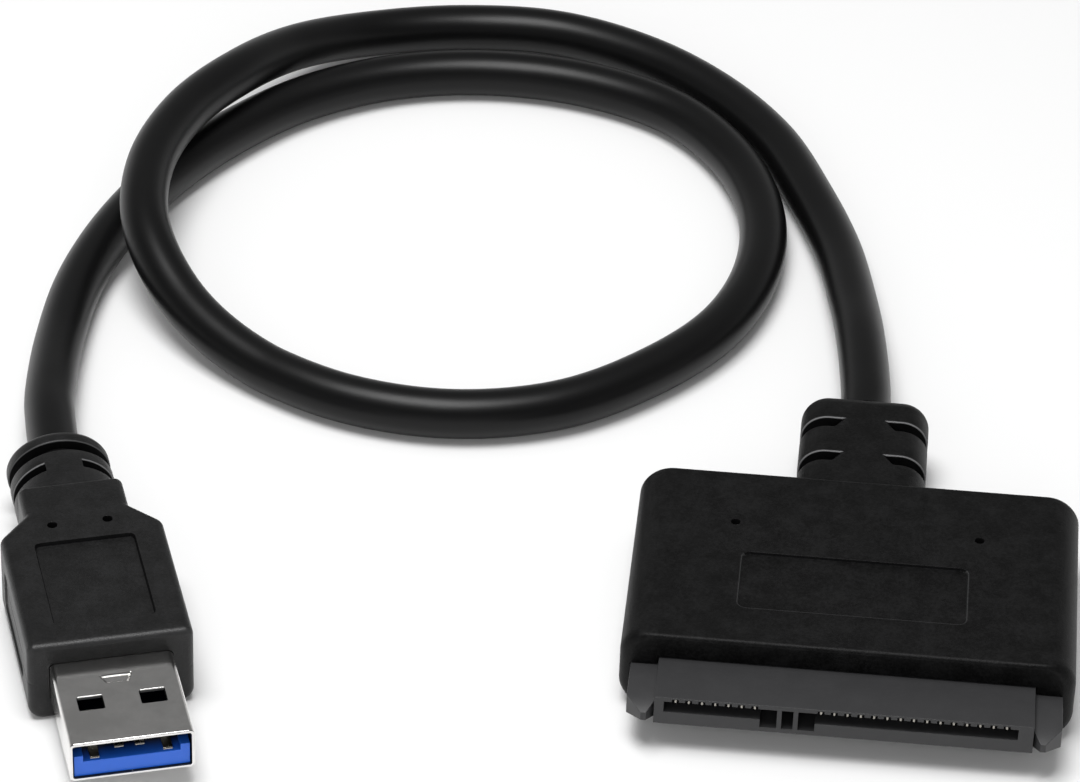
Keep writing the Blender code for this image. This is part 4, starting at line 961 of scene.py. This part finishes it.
def add_relief(shape):
    """The ribbed relief: an oval stem with blunt side slots, a full groove and an end rib."""
    start = SHELL_EXPOSED + GRIP_STRAIGHT + GRIP_CHAMFER + COLLAR_LENGTH
    bridge = math.degrees(math.acos(RELIEF_BRIDGE / RELIEF_HALF[0]))
    quarter = lines(np.linspace(0.0, 90.0, 25), around(bridge, 1.6, 9))
    half_turn = np.concatenate([quarter[:-1], 180.0 - quarter[:0:-1]])
    turn = np.radians(np.concatenate([half_turn, half_turn + 180.0]))
    slot = slot_stations(*RELIEF_SLOT, RELIEF_LIP)
    groove = slot_stations(*RELIEF_GROOVE, RELIEF_LIP)[[0, 3, 2, 1]]
    groove[2] *= GROOVE_HIGHLIGHT
    end_turn = np.linspace(0.0, math.radians(80.0), 9)
    tail = RELIEF_LENGTH - RELIEF_END_ROUND * (1.0 - np.sin(end_turn))
    before, after = plain_stations([-1.0 * MM, 1.5 * MM]), plain_stations([8.0 * MM, *tail])
    y, slots, rim_highlight, grooves = np.hstack([before, slot, groove, after])
    inset = corner_inset(RELIEF_LENGTH - y, RELIEF_END_ROUND)[:, None]
    x = (RELIEF_HALF[0] - inset) * np.cos(turn)
    z = (RELIEF_HALF[1] - inset) * np.sin(turn)
    points = np.stack([x, np.broadcast_to(start + y[:, None], x.shape), z], axis=-1)
    cut = pull_in(points, slots, RELIEF_CORE, RELIEF_CORE, blunt=RELIEF_BRIDGE)
    cut = pull_in(cut, grooves, RELIEF_CORE, RELIEF_CORE)
    rings, looks, painted_highlight = stem_with_sleeve(points, cut, rim_highlight, start + RELIEF_LENGTH)
    shape.grid(plug_world(rings + (0.0, 0.0, PLUG_Z)), look=looks, painted_highlight=painted_highlight)


def make_grip():
    shape = Surface()
    add_grip(shape)
    add_relief(shape)
    moulding = shape.build("plug_grip")
    return stand_in(moulding, "usb_grip", "black_moulding", grip_black, painted_shade_black)


grip = make_grip()

# %% [markdown]
# The plug's shell is one strip of steel, folded round until its edges meet under the plug.
# It is two grids, the outside and the inside of the sheet, with the same lines. Both leave
# out the quads of the four latch windows, and a strip of wall joins them there. The punch
# leaves a rounded rim and a slightly sloped wall, which catch the light as thin bright
# lines. The small detent behind the windows is pressed into both grids.

# %% The folded steel shell
SHELL_LENGTH = 18.75 * MM
SHELL_WALL = 0.3 * MM
SHELL_CORNER = 0.55 * MM
SHELL_SEAM = 0.03 * MM
SHELL_NOSE = 0.12 * MM
WINDOW = {"across": 3.0 * MM, "back": 5.875 * MM, "half": (1.25 * MM, 1.025 * MM), "corner": 0.18 * MM}
WINDOW_LIP = 0.05 * MM
WINDOW_SLOPE = 0.07 * MM
DETENT = {"ends": (8.55 * MM, 9.75 * MM), "halves": (1.1 * MM, 1.6 * MM), "sink": 0.175 * MM}
# The share of each window wall left plain nickel; the rest takes the painted shade.
BRIGHT_WALL = 0.15


def rim_lines(edge, outward, lip, inside=0.2 * MM):
    """Places on a window's edge: close together on its lip, and a few inside."""
    turn = np.linspace(0.0, math.pi / 2, 5)
    over = edge + outward * lip * (1.0 - np.sin(turn))
    return np.concatenate([over, edge - outward * np.linspace(0.0, inside, 5)])


def round_window(points):
    """Rounds the windows' corners: there, squares round the corner's centre become circles."""
    radius = WINDOW["corner"]
    across, back = np.abs(points[..., 0]) - WINDOW["across"], points[..., 1] - WINDOW["back"]
    p = np.abs(across) - (WINDOW["half"][0] - radius)
    q = np.abs(back) - (WINDOW["half"][1] - radius)
    square, circle = np.maximum(p, q), np.maximum(np.hypot(p, q), 1e-9)
    near = (p > 0) & (q > 0) & (square < 2 * radius)
    scale = square / circle
    scale = np.where(near, scale + (1.0 - scale) * np.clip(square / radius - 1.0, 0.0, 1.0), 1.0)
    across = np.where(near, np.sign(across) * (WINDOW["half"][0] - radius + p * scale), across)
    back = np.where(near, np.sign(back) * (WINDOW["half"][1] - radius + q * scale), back)
    side = np.sign(points[..., 0])
    points[..., 0] = np.where(near, side * (WINDOW["across"] + across), points[..., 0])
    points[..., 1] = np.where(near, WINDOW["back"] + back, points[..., 1])


def detent_depth(points):
    """A flat trapezoid, sunk behind a short slope on all its sides."""
    across, back = np.abs(points[..., 0]), points[..., 1]
    half = np.interp(back, DETENT["ends"], DETENT["halves"])
    sides = sunk(1.0, across - half, 0.24 * MM)
    front = sunk(1.0, DETENT["ends"][0] - back, 0.18 * MM)
    rear = sunk(1.0, back - DETENT["ends"][1], 0.06 * MM)
    return DETENT["sink"] * sides * front * rear


def ring_round(rows, columns):
    """Row and column numbers of the points once round a block of left-out quads."""
    top, bottom, left, right = rows.min(), rows.max() + 1, columns.min(), columns.max() + 1
    across, down = np.arange(left, right), np.arange(top, bottom)
    ring_rows = [np.full(len(across), top), down, np.full(len(across), bottom), down[::-1] + 1]
    ring_columns = [across, np.full(len(down), right), across[::-1] + 1, np.full(len(down), left)]
    return np.concatenate(ring_rows), np.concatenate(ring_columns)


def shell_template():
    """Lines round the shell: close together on the windows' rims, and first at the seam."""
    straight = SHELL_HALF[0] - SHELL_CORNER
    near, far = WINDOW["across"] - WINDOW["half"][0], WINDOW["across"] + WINDOW["half"][0]
    rims = rim_lines(near, -1, WINDOW_LIP), rim_lines(far, 1, WINDOW_LIP)
    window_x = mirrored(lines(*rims, 3.0 * MM, 5.0 * MM))
    top = lines(window_x, np.linspace(-1.7, 1.7, 69) * MM)
    bottom = lines(window_x, mirrored([SHELL_SEAM / 2, 0.9 * MM]))
    sx, sz, turn = section_template(top / straight, np.linspace(-0.8, 0.8, 5), bottom / straight, 7)
    seam = np.flatnonzero((sz == -1) & (sx == bottom[bottom > 0][0] / straight))[0]
    return tuple(np.roll(values, -seam) for values in (sx, sz, turn))


def shell_stations():
    """Places along the shell, from its nose back."""
    near, far = WINDOW["back"] - WINDOW["half"][1], WINDOW["back"] + WINDOW["half"][1]
    turn = np.linspace(0.0, math.pi / 2, 5)
    return lines(
        SHELL_NOSE * (1.0 - np.cos(turn)), np.linspace(1.5, 4.0, 3) * MM,
        rim_lines(near, -1, WINDOW_LIP), WINDOW["back"], rim_lines(far, 1, WINDOW_LIP), 7.6 * MM,
        np.linspace(8.15, 9.9, 36) * MM, np.linspace(11.0, SHELL_LENGTH / MM, 5) * MM,
    )


def press_sheets(outer, inner, up):
    """Rounds the windows' corners and rims, and presses the detent into both faces."""
    flat = np.isclose(np.abs(up), 1.0)
    for sheet in (outer, inner):
        rounded = sheet[:, flat]
        round_window(rounded)
        sheet[:, flat] = rounded
    across, back = np.abs(outer[..., 0]) - WINDOW["across"], outer[..., 1] - WINDOW["back"]
    from_rim = box_distance(across, back, *WINDOW["half"], WINDOW["corner"])
    outer[..., 2] -= up * corner_inset(from_rim, WINDOW_LIP) * flat
    for sheet in (outer, inner):
        sheet[..., 2] -= detent_depth(sheet) * (flat & (up > 0))


def window_wall(outer, inner, quads, side):
    """The wall of one window, in two strips: the punched edge is plain nickel, the rest takes the painted
    shade.
    """
    ring = ring_round(*np.nonzero(quads))
    centre = np.array([side * WINDOW["across"], WINDOW["back"]])
    shrink = 1.0 - WINDOW_SLOPE / np.array(WINDOW["half"])
    inner[ring[0], ring[1], :2] = centre + (inner[ring[0], ring[1], :2] - centre) * shrink
    between = outer[ring] * (1.0 - BRIGHT_WALL) + inner[ring] * BRIGHT_WALL
    return np.stack([outer[ring], between, inner[ring]])


def make_shell():
    template = shell_template()
    y = shell_stations()
    inset = corner_inset(y, SHELL_NOSE)
    wide, high = SHELL_HALF
    outer = sections(template, y, wide - inset, high - inset, SHELL_CORNER - inset)
    inner = sections(template, y, wide - SHELL_WALL, high - SHELL_WALL, SHELL_CORNER - SHELL_WALL)
    up = np.sin(template[2])
    flat = np.isclose(np.abs(up), 1.0)
    middle_x = (outer[0, 1:, 0] + outer[0, :-1, 0]) / 2
    middle_y = ((y[1:] + y[:-1]) / 2)[:, None]
    across, back = np.abs(middle_x) - WINDOW["across"], middle_y - WINDOW["back"]
    half_x, half_y = WINDOW["half"]
    left_out = flat[1:] & flat[:-1] & (np.abs(across) < half_x) & (np.abs(back) < half_y)
    press_sheets(outer, inner, up)
    walls = [
        window_wall(outer, inner, left_out & (np.sign(middle_x) == side) & (np.sign(up[:-1]) == face), side)
        for side in (-1, 1)
        for face in (-1, 1)
    ]

    lift = (0.0, 0.0, PLUG_Z)
    shape = Surface()
    shape.grid(plug_world(outer + lift), closed=False, keep=~left_out)
    # The inside of the sheet, and the inner strip of each window wall, take look 1: the nickel's painted
    # shade.
    shape.grid(plug_world(inner + lift), closed=False, keep=~left_out, look=1)
    for wall in walls:
        shape.grid(plug_world(wall[:2] + lift))
        shape.grid(plug_world(wall[1:] + lift), look=1)
    for end in (0, -1):
        shape.grid(plug_world(np.stack([outer[end], inner[end]]) + lift), closed=False)
        shape.grid(plug_world(np.stack([outer[:, end], inner[:, end]]) + lift), closed=False)
    return stand_in(shape.build("plug_shell"), "usb_shell", "plug_steel", nickel, nickel_painted_shade)


shell = make_shell()

# %% [markdown]
# The drive connector is moulded in glass-filled plastic: two slots, each with a deeper key
# at one end, a pocket between them and a comb of channels along the top. All its faces are
# level or upright, so it is drawn on a board of cells. Every cell is open or solid. The
# front face is the solid cells, the slots' floors are the open cells further back, and a
# wall stands wherever an open cell meets a solid one. A small bevel rounds all the rims.

# %% The keyed 22-way connector
CONTACT_PITCH = 1.27 * MM
SEGMENT_PITCH = 6.35 * MM
SIGNAL_COUNT = 7
POWER_COUNT = 15
ROW_SHIFT = -0.275 * MM
SLOT_Z = (4.55 * MM, 5.8 * MM)
CHANNEL_TOP = 6.1 * MM
CHANNEL_HALF = 0.33 * MM
KEY_FLOOR = 3.6 * MM
SLOT_END_MARGIN = 1.1 * MM
KEY_MARGIN = 0.55 * MM
KEY_WIDTH = 1.6 * MM
POCKET_HALF = 0.55 * MM
SLOT_DEPTH = 5.5 * MM
CONNECTOR_BEVEL = 0.05 * MM
row_length = (SIGNAL_COUNT + POWER_COUNT - 2) * CONTACT_PITCH + SEGMENT_PITCH
signal_x = ROW_SHIFT - row_length / 2 + np.arange(SIGNAL_COUNT) * CONTACT_PITCH
power_x = signal_x[-1] + SEGMENT_PITCH + np.arange(POWER_COUNT) * CONTACT_PITCH


def connector_holes():
    """All openings in the front face, as rectangles: left, right, low, high."""
    holes = [(x - CHANNEL_HALF, x + CHANNEL_HALF, SLOT_Z[1], CHANNEL_TOP) for x in (*signal_x, *power_x)]
    for first, last, side in ((signal_x[0], signal_x[-1], 1), (power_x[-1], power_x[0], -1)):
        open_end = first - side * SLOT_END_MARGIN
        key_near = last + side * KEY_MARGIN
        key_far = key_near + side * KEY_WIDTH
        holes.append((*sorted((open_end, key_far)), *SLOT_Z))
        holes.append((*sorted((key_near, key_far)), KEY_FLOOR, SLOT_Z[0]))
    middle = (signal_x[-1] + power_x[0]) / 2
    holes.append((middle - POCKET_HALF, middle + POCKET_HALF, KEY_FLOOR, SLOT_Z[1]))
    return np.array(holes)


def add_connector_body(shape):
    holes = connector_holes()
    x = lines(holes[:, :2].ravel(), [-CONNECTOR_HALF, CONNECTOR_HALF])
    z = lines(holes[:, 2:].ravel(), CONNECTOR_Z)
    mid_x, mid_z = ((x[1:] + x[:-1]) / 2)[:, None], ((z[1:] + z[:-1]) / 2)[None, :]
    left, right, low, high = (holes[:, k, None, None] for k in range(4))
    open_cell = ((mid_x > left) & (mid_x < right) & (mid_z > low) & (mid_z < high)).any(axis=0)
    face = np.stack(np.broadcast_arrays(x[:, None], FACE_Y, z[None, :]), axis=-1)
    shape.grid(face, closed=False, keep=~open_cell)
    back = np.array([0.0, SLOT_DEPTH, 0.0])
    shape.grid(face + back, closed=False, keep=open_cell)
    i, j = np.nonzero(np.diff(np.pad(open_cell, ((1, 1), (0, 0))).astype(int), axis=0))
    shape.patches(np.stack([face[i, j], face[i, j + 1], face[i, j + 1] + back, face[i, j] + back], axis=1))
    i, j = np.nonzero(np.diff(np.pad(open_cell, ((0, 0), (1, 1))).astype(int), axis=1))
    shape.patches(np.stack([face[i, j], face[i + 1, j], face[i + 1, j] + back, face[i, j] + back], axis=1))
    rim = np.concatenate([face[:-1, 0], face[-1, :-1], face[:0:-1, -1], face[0, :0:-1]])
    rear = rim * (1, 0, 1) + (0.0, HOUSING_FRONT + 1.4 * MM, 0.0)
    shape.grid(np.stack([rim, rear]))
    shape.cap(rear)


def add_ear(shape, side):
    """A guide ear: a pointed lead-in, then a plain bar back into the housing."""
    inner, outer = CONNECTOR_HALF - 0.2 * MM, CONNECTOR_HALF + EAR_WIDTH
    tip_in, tip_out = CONNECTOR_HALF + 0.7 * MM, CONNECTOR_HALF + 1.2 * MM
    rings = [
        [(side * x, y, z) for x, z in ((left, low), (right, low), (right, high), (left, high))]
        for left, right, low, high, y in (
            (tip_in, tip_out, 3.9 * MM, 4.8 * MM, FACE_Y - 0.7 * MM),
            (inner, outer, *EAR_Z, FACE_Y + 1.1 * MM),
            (inner, outer, *EAR_Z, HOUSING_FRONT + 1.3 * MM),
        )
    ]
    shape.bar(np.array(rings))


def add_bevel(piece, width):
    bevel = piece.modifiers.new("rims", "BEVEL")
    bevel.width = width
    bevel.segments = 2
    bevel.limit_method = "ANGLE"
    bevel.angle_limit = math.radians(20.0)
    bevel.harden_normals = True


def make_connector():
    shape = Surface()
    add_connector_body(shape)
    for side in (-1, 1):
        add_ear(shape, side)
    piece = shape.build("drive_connector")
    add_bevel(piece, CONNECTOR_BEVEL)
    stand_in(piece, "sata_connector", "connector_plastic", connector_grey)


make_connector()

# %% [markdown]
# The contacts are stamped strips. Each is made straight, as a loft with rounded edges,
# and then bent: its length runs along a path in the YZ plane, and its thickness stands
# square to the path. A drive contact ends in a narrow hook that turns up in its channel,
# and a plug blade dips its tip into the tongue. Those two ends are what shines in front.

# %% Contacts, bent from straight strips
def bend_along(points, path, spread):
    """Carries a strip along Y onto a path of (y, z) corners, each rounded over the spread."""
    path = np.asarray(path)
    steps = np.linalg.norm(np.diff(path, axis=0), axis=1)
    walked = np.concatenate([[0.0], np.cumsum(steps)])
    place = points[:, 0, 1]
    step = 0.01 * MM
    here, before, after = (
        np.stack([softened(place + shift, walked, path[:, k], spread) for k in (0, 1)], axis=1)
        for shift in (0.0, -step, step)
    )
    along = after - before
    along /= np.linalg.norm(along, axis=1, keepdims=True)
    out = points.copy()
    out[..., 1] = here[:, None, 0] - points[..., 2] * along[:, None, 1]
    out[..., 2] = here[:, None, 1] + points[..., 2] * along[:, None, 0]
    return out


def bent_strip(path, half_width, tip_half, thickness, spread):
    """The strip's rings; its width grows from the tip's over its first millimetre."""
    path = np.asarray(path)
    length = np.linalg.norm(np.diff(path, axis=0), axis=1).sum()
    place = lines(np.linspace(0.02 * MM, 1.5 * MM, 24), np.linspace(1.7 * MM, length - 0.05 * MM, 40))
    width = tip_half + (half_width - tip_half) * ease(place, 0.3 * MM, 1.1 * MM)
    inset = corner_inset(place, 0.08 * MM) + corner_inset(length - place, 0.05 * MM)
    template = section_template([0.0], [0.0], [0.0], 4)
    half = thickness / 2
    rings = sections(
        template, place, width - inset, half - inset * 0.7, half * 0.6 - inset * 0.4,
    )
    return bend_along(rings, path, spread)


def make_strip(node, rings, metal):
    shape = Surface()
    shape.bar(rings)
    stand_in(shape.build(node + "_strip", sharp_angle=50.0), node, "contact_gold", metal)


BEND_Y = HOUSING_FRONT + 3.2 * MM
contact_path = [
    (FACE_Y + 0.62 * MM, 5.76 * MM), (FACE_Y + 0.52 * MM, 5.42 * MM), (FACE_Y + 1.2 * MM, 5.2 * MM),
    (FACE_Y + 1.7 * MM, 5.2 * MM), (FACE_Y + 4.6 * MM, 5.85 * MM), (BEND_Y, 5.85 * MM),
    (BEND_Y + 0.8 * MM, 5.3 * MM), (BEND_Y + 2.4 * MM, 5.3 * MM),
]
contact = bent_strip(contact_path, 0.18 * MM, 0.11 * MM, 0.2 * MM, 0.05 * MM)
for kind, places in (("signal", signal_x), ("power", power_x)):
    for number, x in enumerate(places, start=1):
        make_strip(f"{kind}_contact_{number}", contact + (x, 0.0, 0.0), gold_painted_shade)

for number, (x, start) in enumerate(((-3.5, 0.68), (-1.0, 1.85), (1.0, 1.85), (3.5, 0.68)), start=1):
    path = [(start, 4.1), (start + 0.1, 4.33), (7.3, 4.34), (8.25, 3.85), (20.6, 3.85)]
    rings = bent_strip(np.array(path) * MM, 0.5 * MM, 0.46 * MM, 0.2 * MM, 0.04 * MM)
    make_strip(f"usb_blade_{number}", plug_world(rings + (x * MM, 0.0, 0.0)), gold_flash)

# %% [markdown]
# The insulator is one blue moulding: a base that fills the shell, and in front of it the
# tongue, a flat bed between two rails. The rails keep the plug's contacts from touching a
# socket's shell. Both parts are straight blocks with a small bevel. Behind its first
# millimetres hardly any light reaches it, and the photograph shows it black there, so
# its blue fades with the distance from the nose.

# %% The blue tongue
TONGUE = {
    "half": 5.55 * MM, "low": 2.54 * MM, "bed": 4.25 * MM,
    "rail": 4.95 * MM, "rail_width": 0.9 * MM,
}
TONGUE_ENDS = (0.3 * MM, 11.9 * MM, 17.6 * MM)
TONGUE_ROOF = 6.25 * MM
TONGUE_BEVEL = 0.05 * MM


def blue_plastic():
    """Blue for the first millimetres from the nose, then nearly black."""
    made, shader, place = start_material("blue_tongue")
    c, s = math.cos(PLUG_TURN), math.sin(PLUG_TURN)
    nose = float(PLUG_PLACE[1] * c - PLUG_PLACE[0] * s)
    from_nose = coordinate(place, 1) * c - coordinate(place, 0) * s - nose
    clouds = noise(place, 700.0, 3.0, 0.5)
    blue = clouds.blend(shade(0.016, 0.125, 0.65), shade(0.018, 0.137, 0.7))
    tone = from_nose.step(0.6 * MM, 2.6 * MM).blend(blue, shade(0.001, 0.002, 0.008))
    connect(shader, Base_Color=tone, Roughness=0.3 + clouds * 0.06, Normal=bump(clouds, 0.004 * MM))
    return made


def make_tongue():
    shape = Surface()
    half, inner = TONGUE["half"], TONGUE["half"] - TONGUE["rail_width"]
    low, bed, rail = TONGUE["low"], TONGUE["bed"], TONGUE["rail"]
    for right, start, end in (
        ([(half, low), (half, rail), (inner, rail), (inner, bed)], *TONGUE_ENDS[:2]),
        ([(half, low), (half, TONGUE_ROOF)], *TONGUE_ENDS[1:]),
    ):
        outline = right + [(-x, z) for x, z in reversed(right)]
        shape.bar(plug_world([[(x, y, z) for x, z in outline] for y in (start, end)]))
    piece = shape.build("plug_tongue")
    add_bevel(piece, TONGUE_BEVEL)
    return stand_in(piece, "usb_insulator", "blue_insulator", blue_plastic())


tongue = make_tongue()

# %% [markdown]
# The stage is a pale desk with soft studio light. The desk has to look white in the
# picture and in the metal, and still take the object's shadow. So to the camera and to
# mirror-like reflections it glows a little by itself, and to all other light it is a plain
# white surface. The world is white to the camera. In reflections it is bright at the
# horizon and dark overhead, darkest in front, as in a studio with one soft lamp above.

# %% The desk
FLOOR_SIZE = 4.0
FLOOR_GLOW = 0.02
FLOOR_WHITE = 0.775
FLOOR_BOUNCE = 0.8


def ray_kind(place, kind):
    """1 for rays of this kind, and 0 for all others."""
    return place.add("ShaderNodeLightPath", {}, {}, output=f"Is {kind} Ray")


def seen_directly(place):
    """1 for rays that show the background: camera, mirror and glass rays."""
    kinds = [ray_kind(place, kind) for kind in ("Camera", "Glossy", "Transmission")]
    either = kinds[0] + kinds[1] + kinds[2]
    return either.maths("MINIMUM", either, 1.0)


def make_floor():
    made = bpy.data.materials.new("desk_white")
    made.use_nodes = True
    tree = made.node_tree
    tree.nodes.clear()
    out = tree.nodes.new("ShaderNodeOutputMaterial")
    paint = tree.nodes.new("ShaderNodeBsdfDiffuse")
    paint.inputs["Color"].default_value = shade(FLOOR_WHITE, FLOOR_WHITE, FLOOR_WHITE)
    start = Socket(tree, paint.outputs[0])
    glow = start.add("ShaderNodeEmission", {}, {"Strength": FLOOR_GLOW})
    both = start.add("ShaderNodeAddShader", {}, {0: start, 1: glow})
    bounce = shade(FLOOR_BOUNCE, FLOOR_BOUNCE, FLOOR_BOUNCE)
    plain = start.add("ShaderNodeBsdfDiffuse", {}, {"Color": bounce})
    mixed = start.add("ShaderNodeMixShader", {}, {0: seen_directly(start), 1: plain, 2: both})
    tree.links.new(mixed.output, out.inputs["Surface"])
    half = FLOOR_SIZE / 2
    mesh = bpy.data.meshes.new("desk")
    corners = [(-half, -half, 0), (half, -half, 0), (half, half, 0), (-half, half, 0)]
    mesh.from_pydata(corners, [], [(0, 1, 2, 3)])
    mesh.materials.append(made)
    desk = bpy.data.objects.new("desk", mesh)
    bpy.context.scene.collection.objects.link(desk)
    desk.location.z = -0.05 * MM


make_floor()

# %% The world and the lamps
AMBIENT = 0.36
HORIZON = 0.76
OVERHEAD = 0.245
OVERHEAD_FRONT = 0.1


def make_world():
    """White to the camera; to reflections, nearly white at the horizon and darker above."""
    world = bpy.data.worlds.new("studio")
    bpy.context.scene.world = world
    world.use_nodes = True
    tree = world.node_tree
    tree.nodes.clear()
    out = tree.nodes.new("ShaderNodeOutputWorld")
    where = tree.nodes.new("ShaderNodeTexCoord")
    direction = Socket(tree, where.outputs["Generated"])
    behind, up = coordinate(direction, 1), coordinate(direction, 2)
    above = up.step(0.12, 0.42)
    sky = behind.step(-0.3, 0.4) * (OVERHEAD - OVERHEAD_FRONT) + OVERHEAD_FRONT
    studio = (1 - above) * (HORIZON - sky) + sky
    level = ray_kind(direction, "Diffuse") * (AMBIENT - studio) + studio
    level = ray_kind(direction, "Camera") * (1 - level) + level
    light = level.add("ShaderNodeBackground", {}, {"Strength": level})
    tree.links.new(light.output, out.inputs["Surface"])


def make_lamp(name, place, aim, size, watts, in_reflections=True):
    data = bpy.data.lights.new(name, "AREA")
    data.shape = "RECTANGLE"
    data.size, data.size_y = size
    data.energy = watts
    lamp = bpy.data.objects.new(name, data)
    bpy.context.scene.collection.objects.link(lamp)
    lamp.location = place
    lamp.rotation_mode = "QUATERNION"
    lamp.rotation_quaternion = (Vector(aim) - Vector(place)).to_track_quat("-Z", "Y")
    lamp.visible_glossy = in_reflections


make_world()
LOOK_AT = (-0.035, 0.03, 0.0)
make_lamp("key", (-0.13, 0.15, 0.64), LOOK_AT, (0.50, 0.40), 0.4, in_reflections=False)
make_lamp("soft_box", (-0.10, -0.06, 0.60), LOOK_AT, (0.34, 0.30), 3.6)
make_lamp("front_fill", (-0.1, -0.75, 0.40), LOOK_AT, (0.7, 0.5), 1.6, in_reflections=False)
bpy.context.scene.view_settings.view_transform = "Standard"
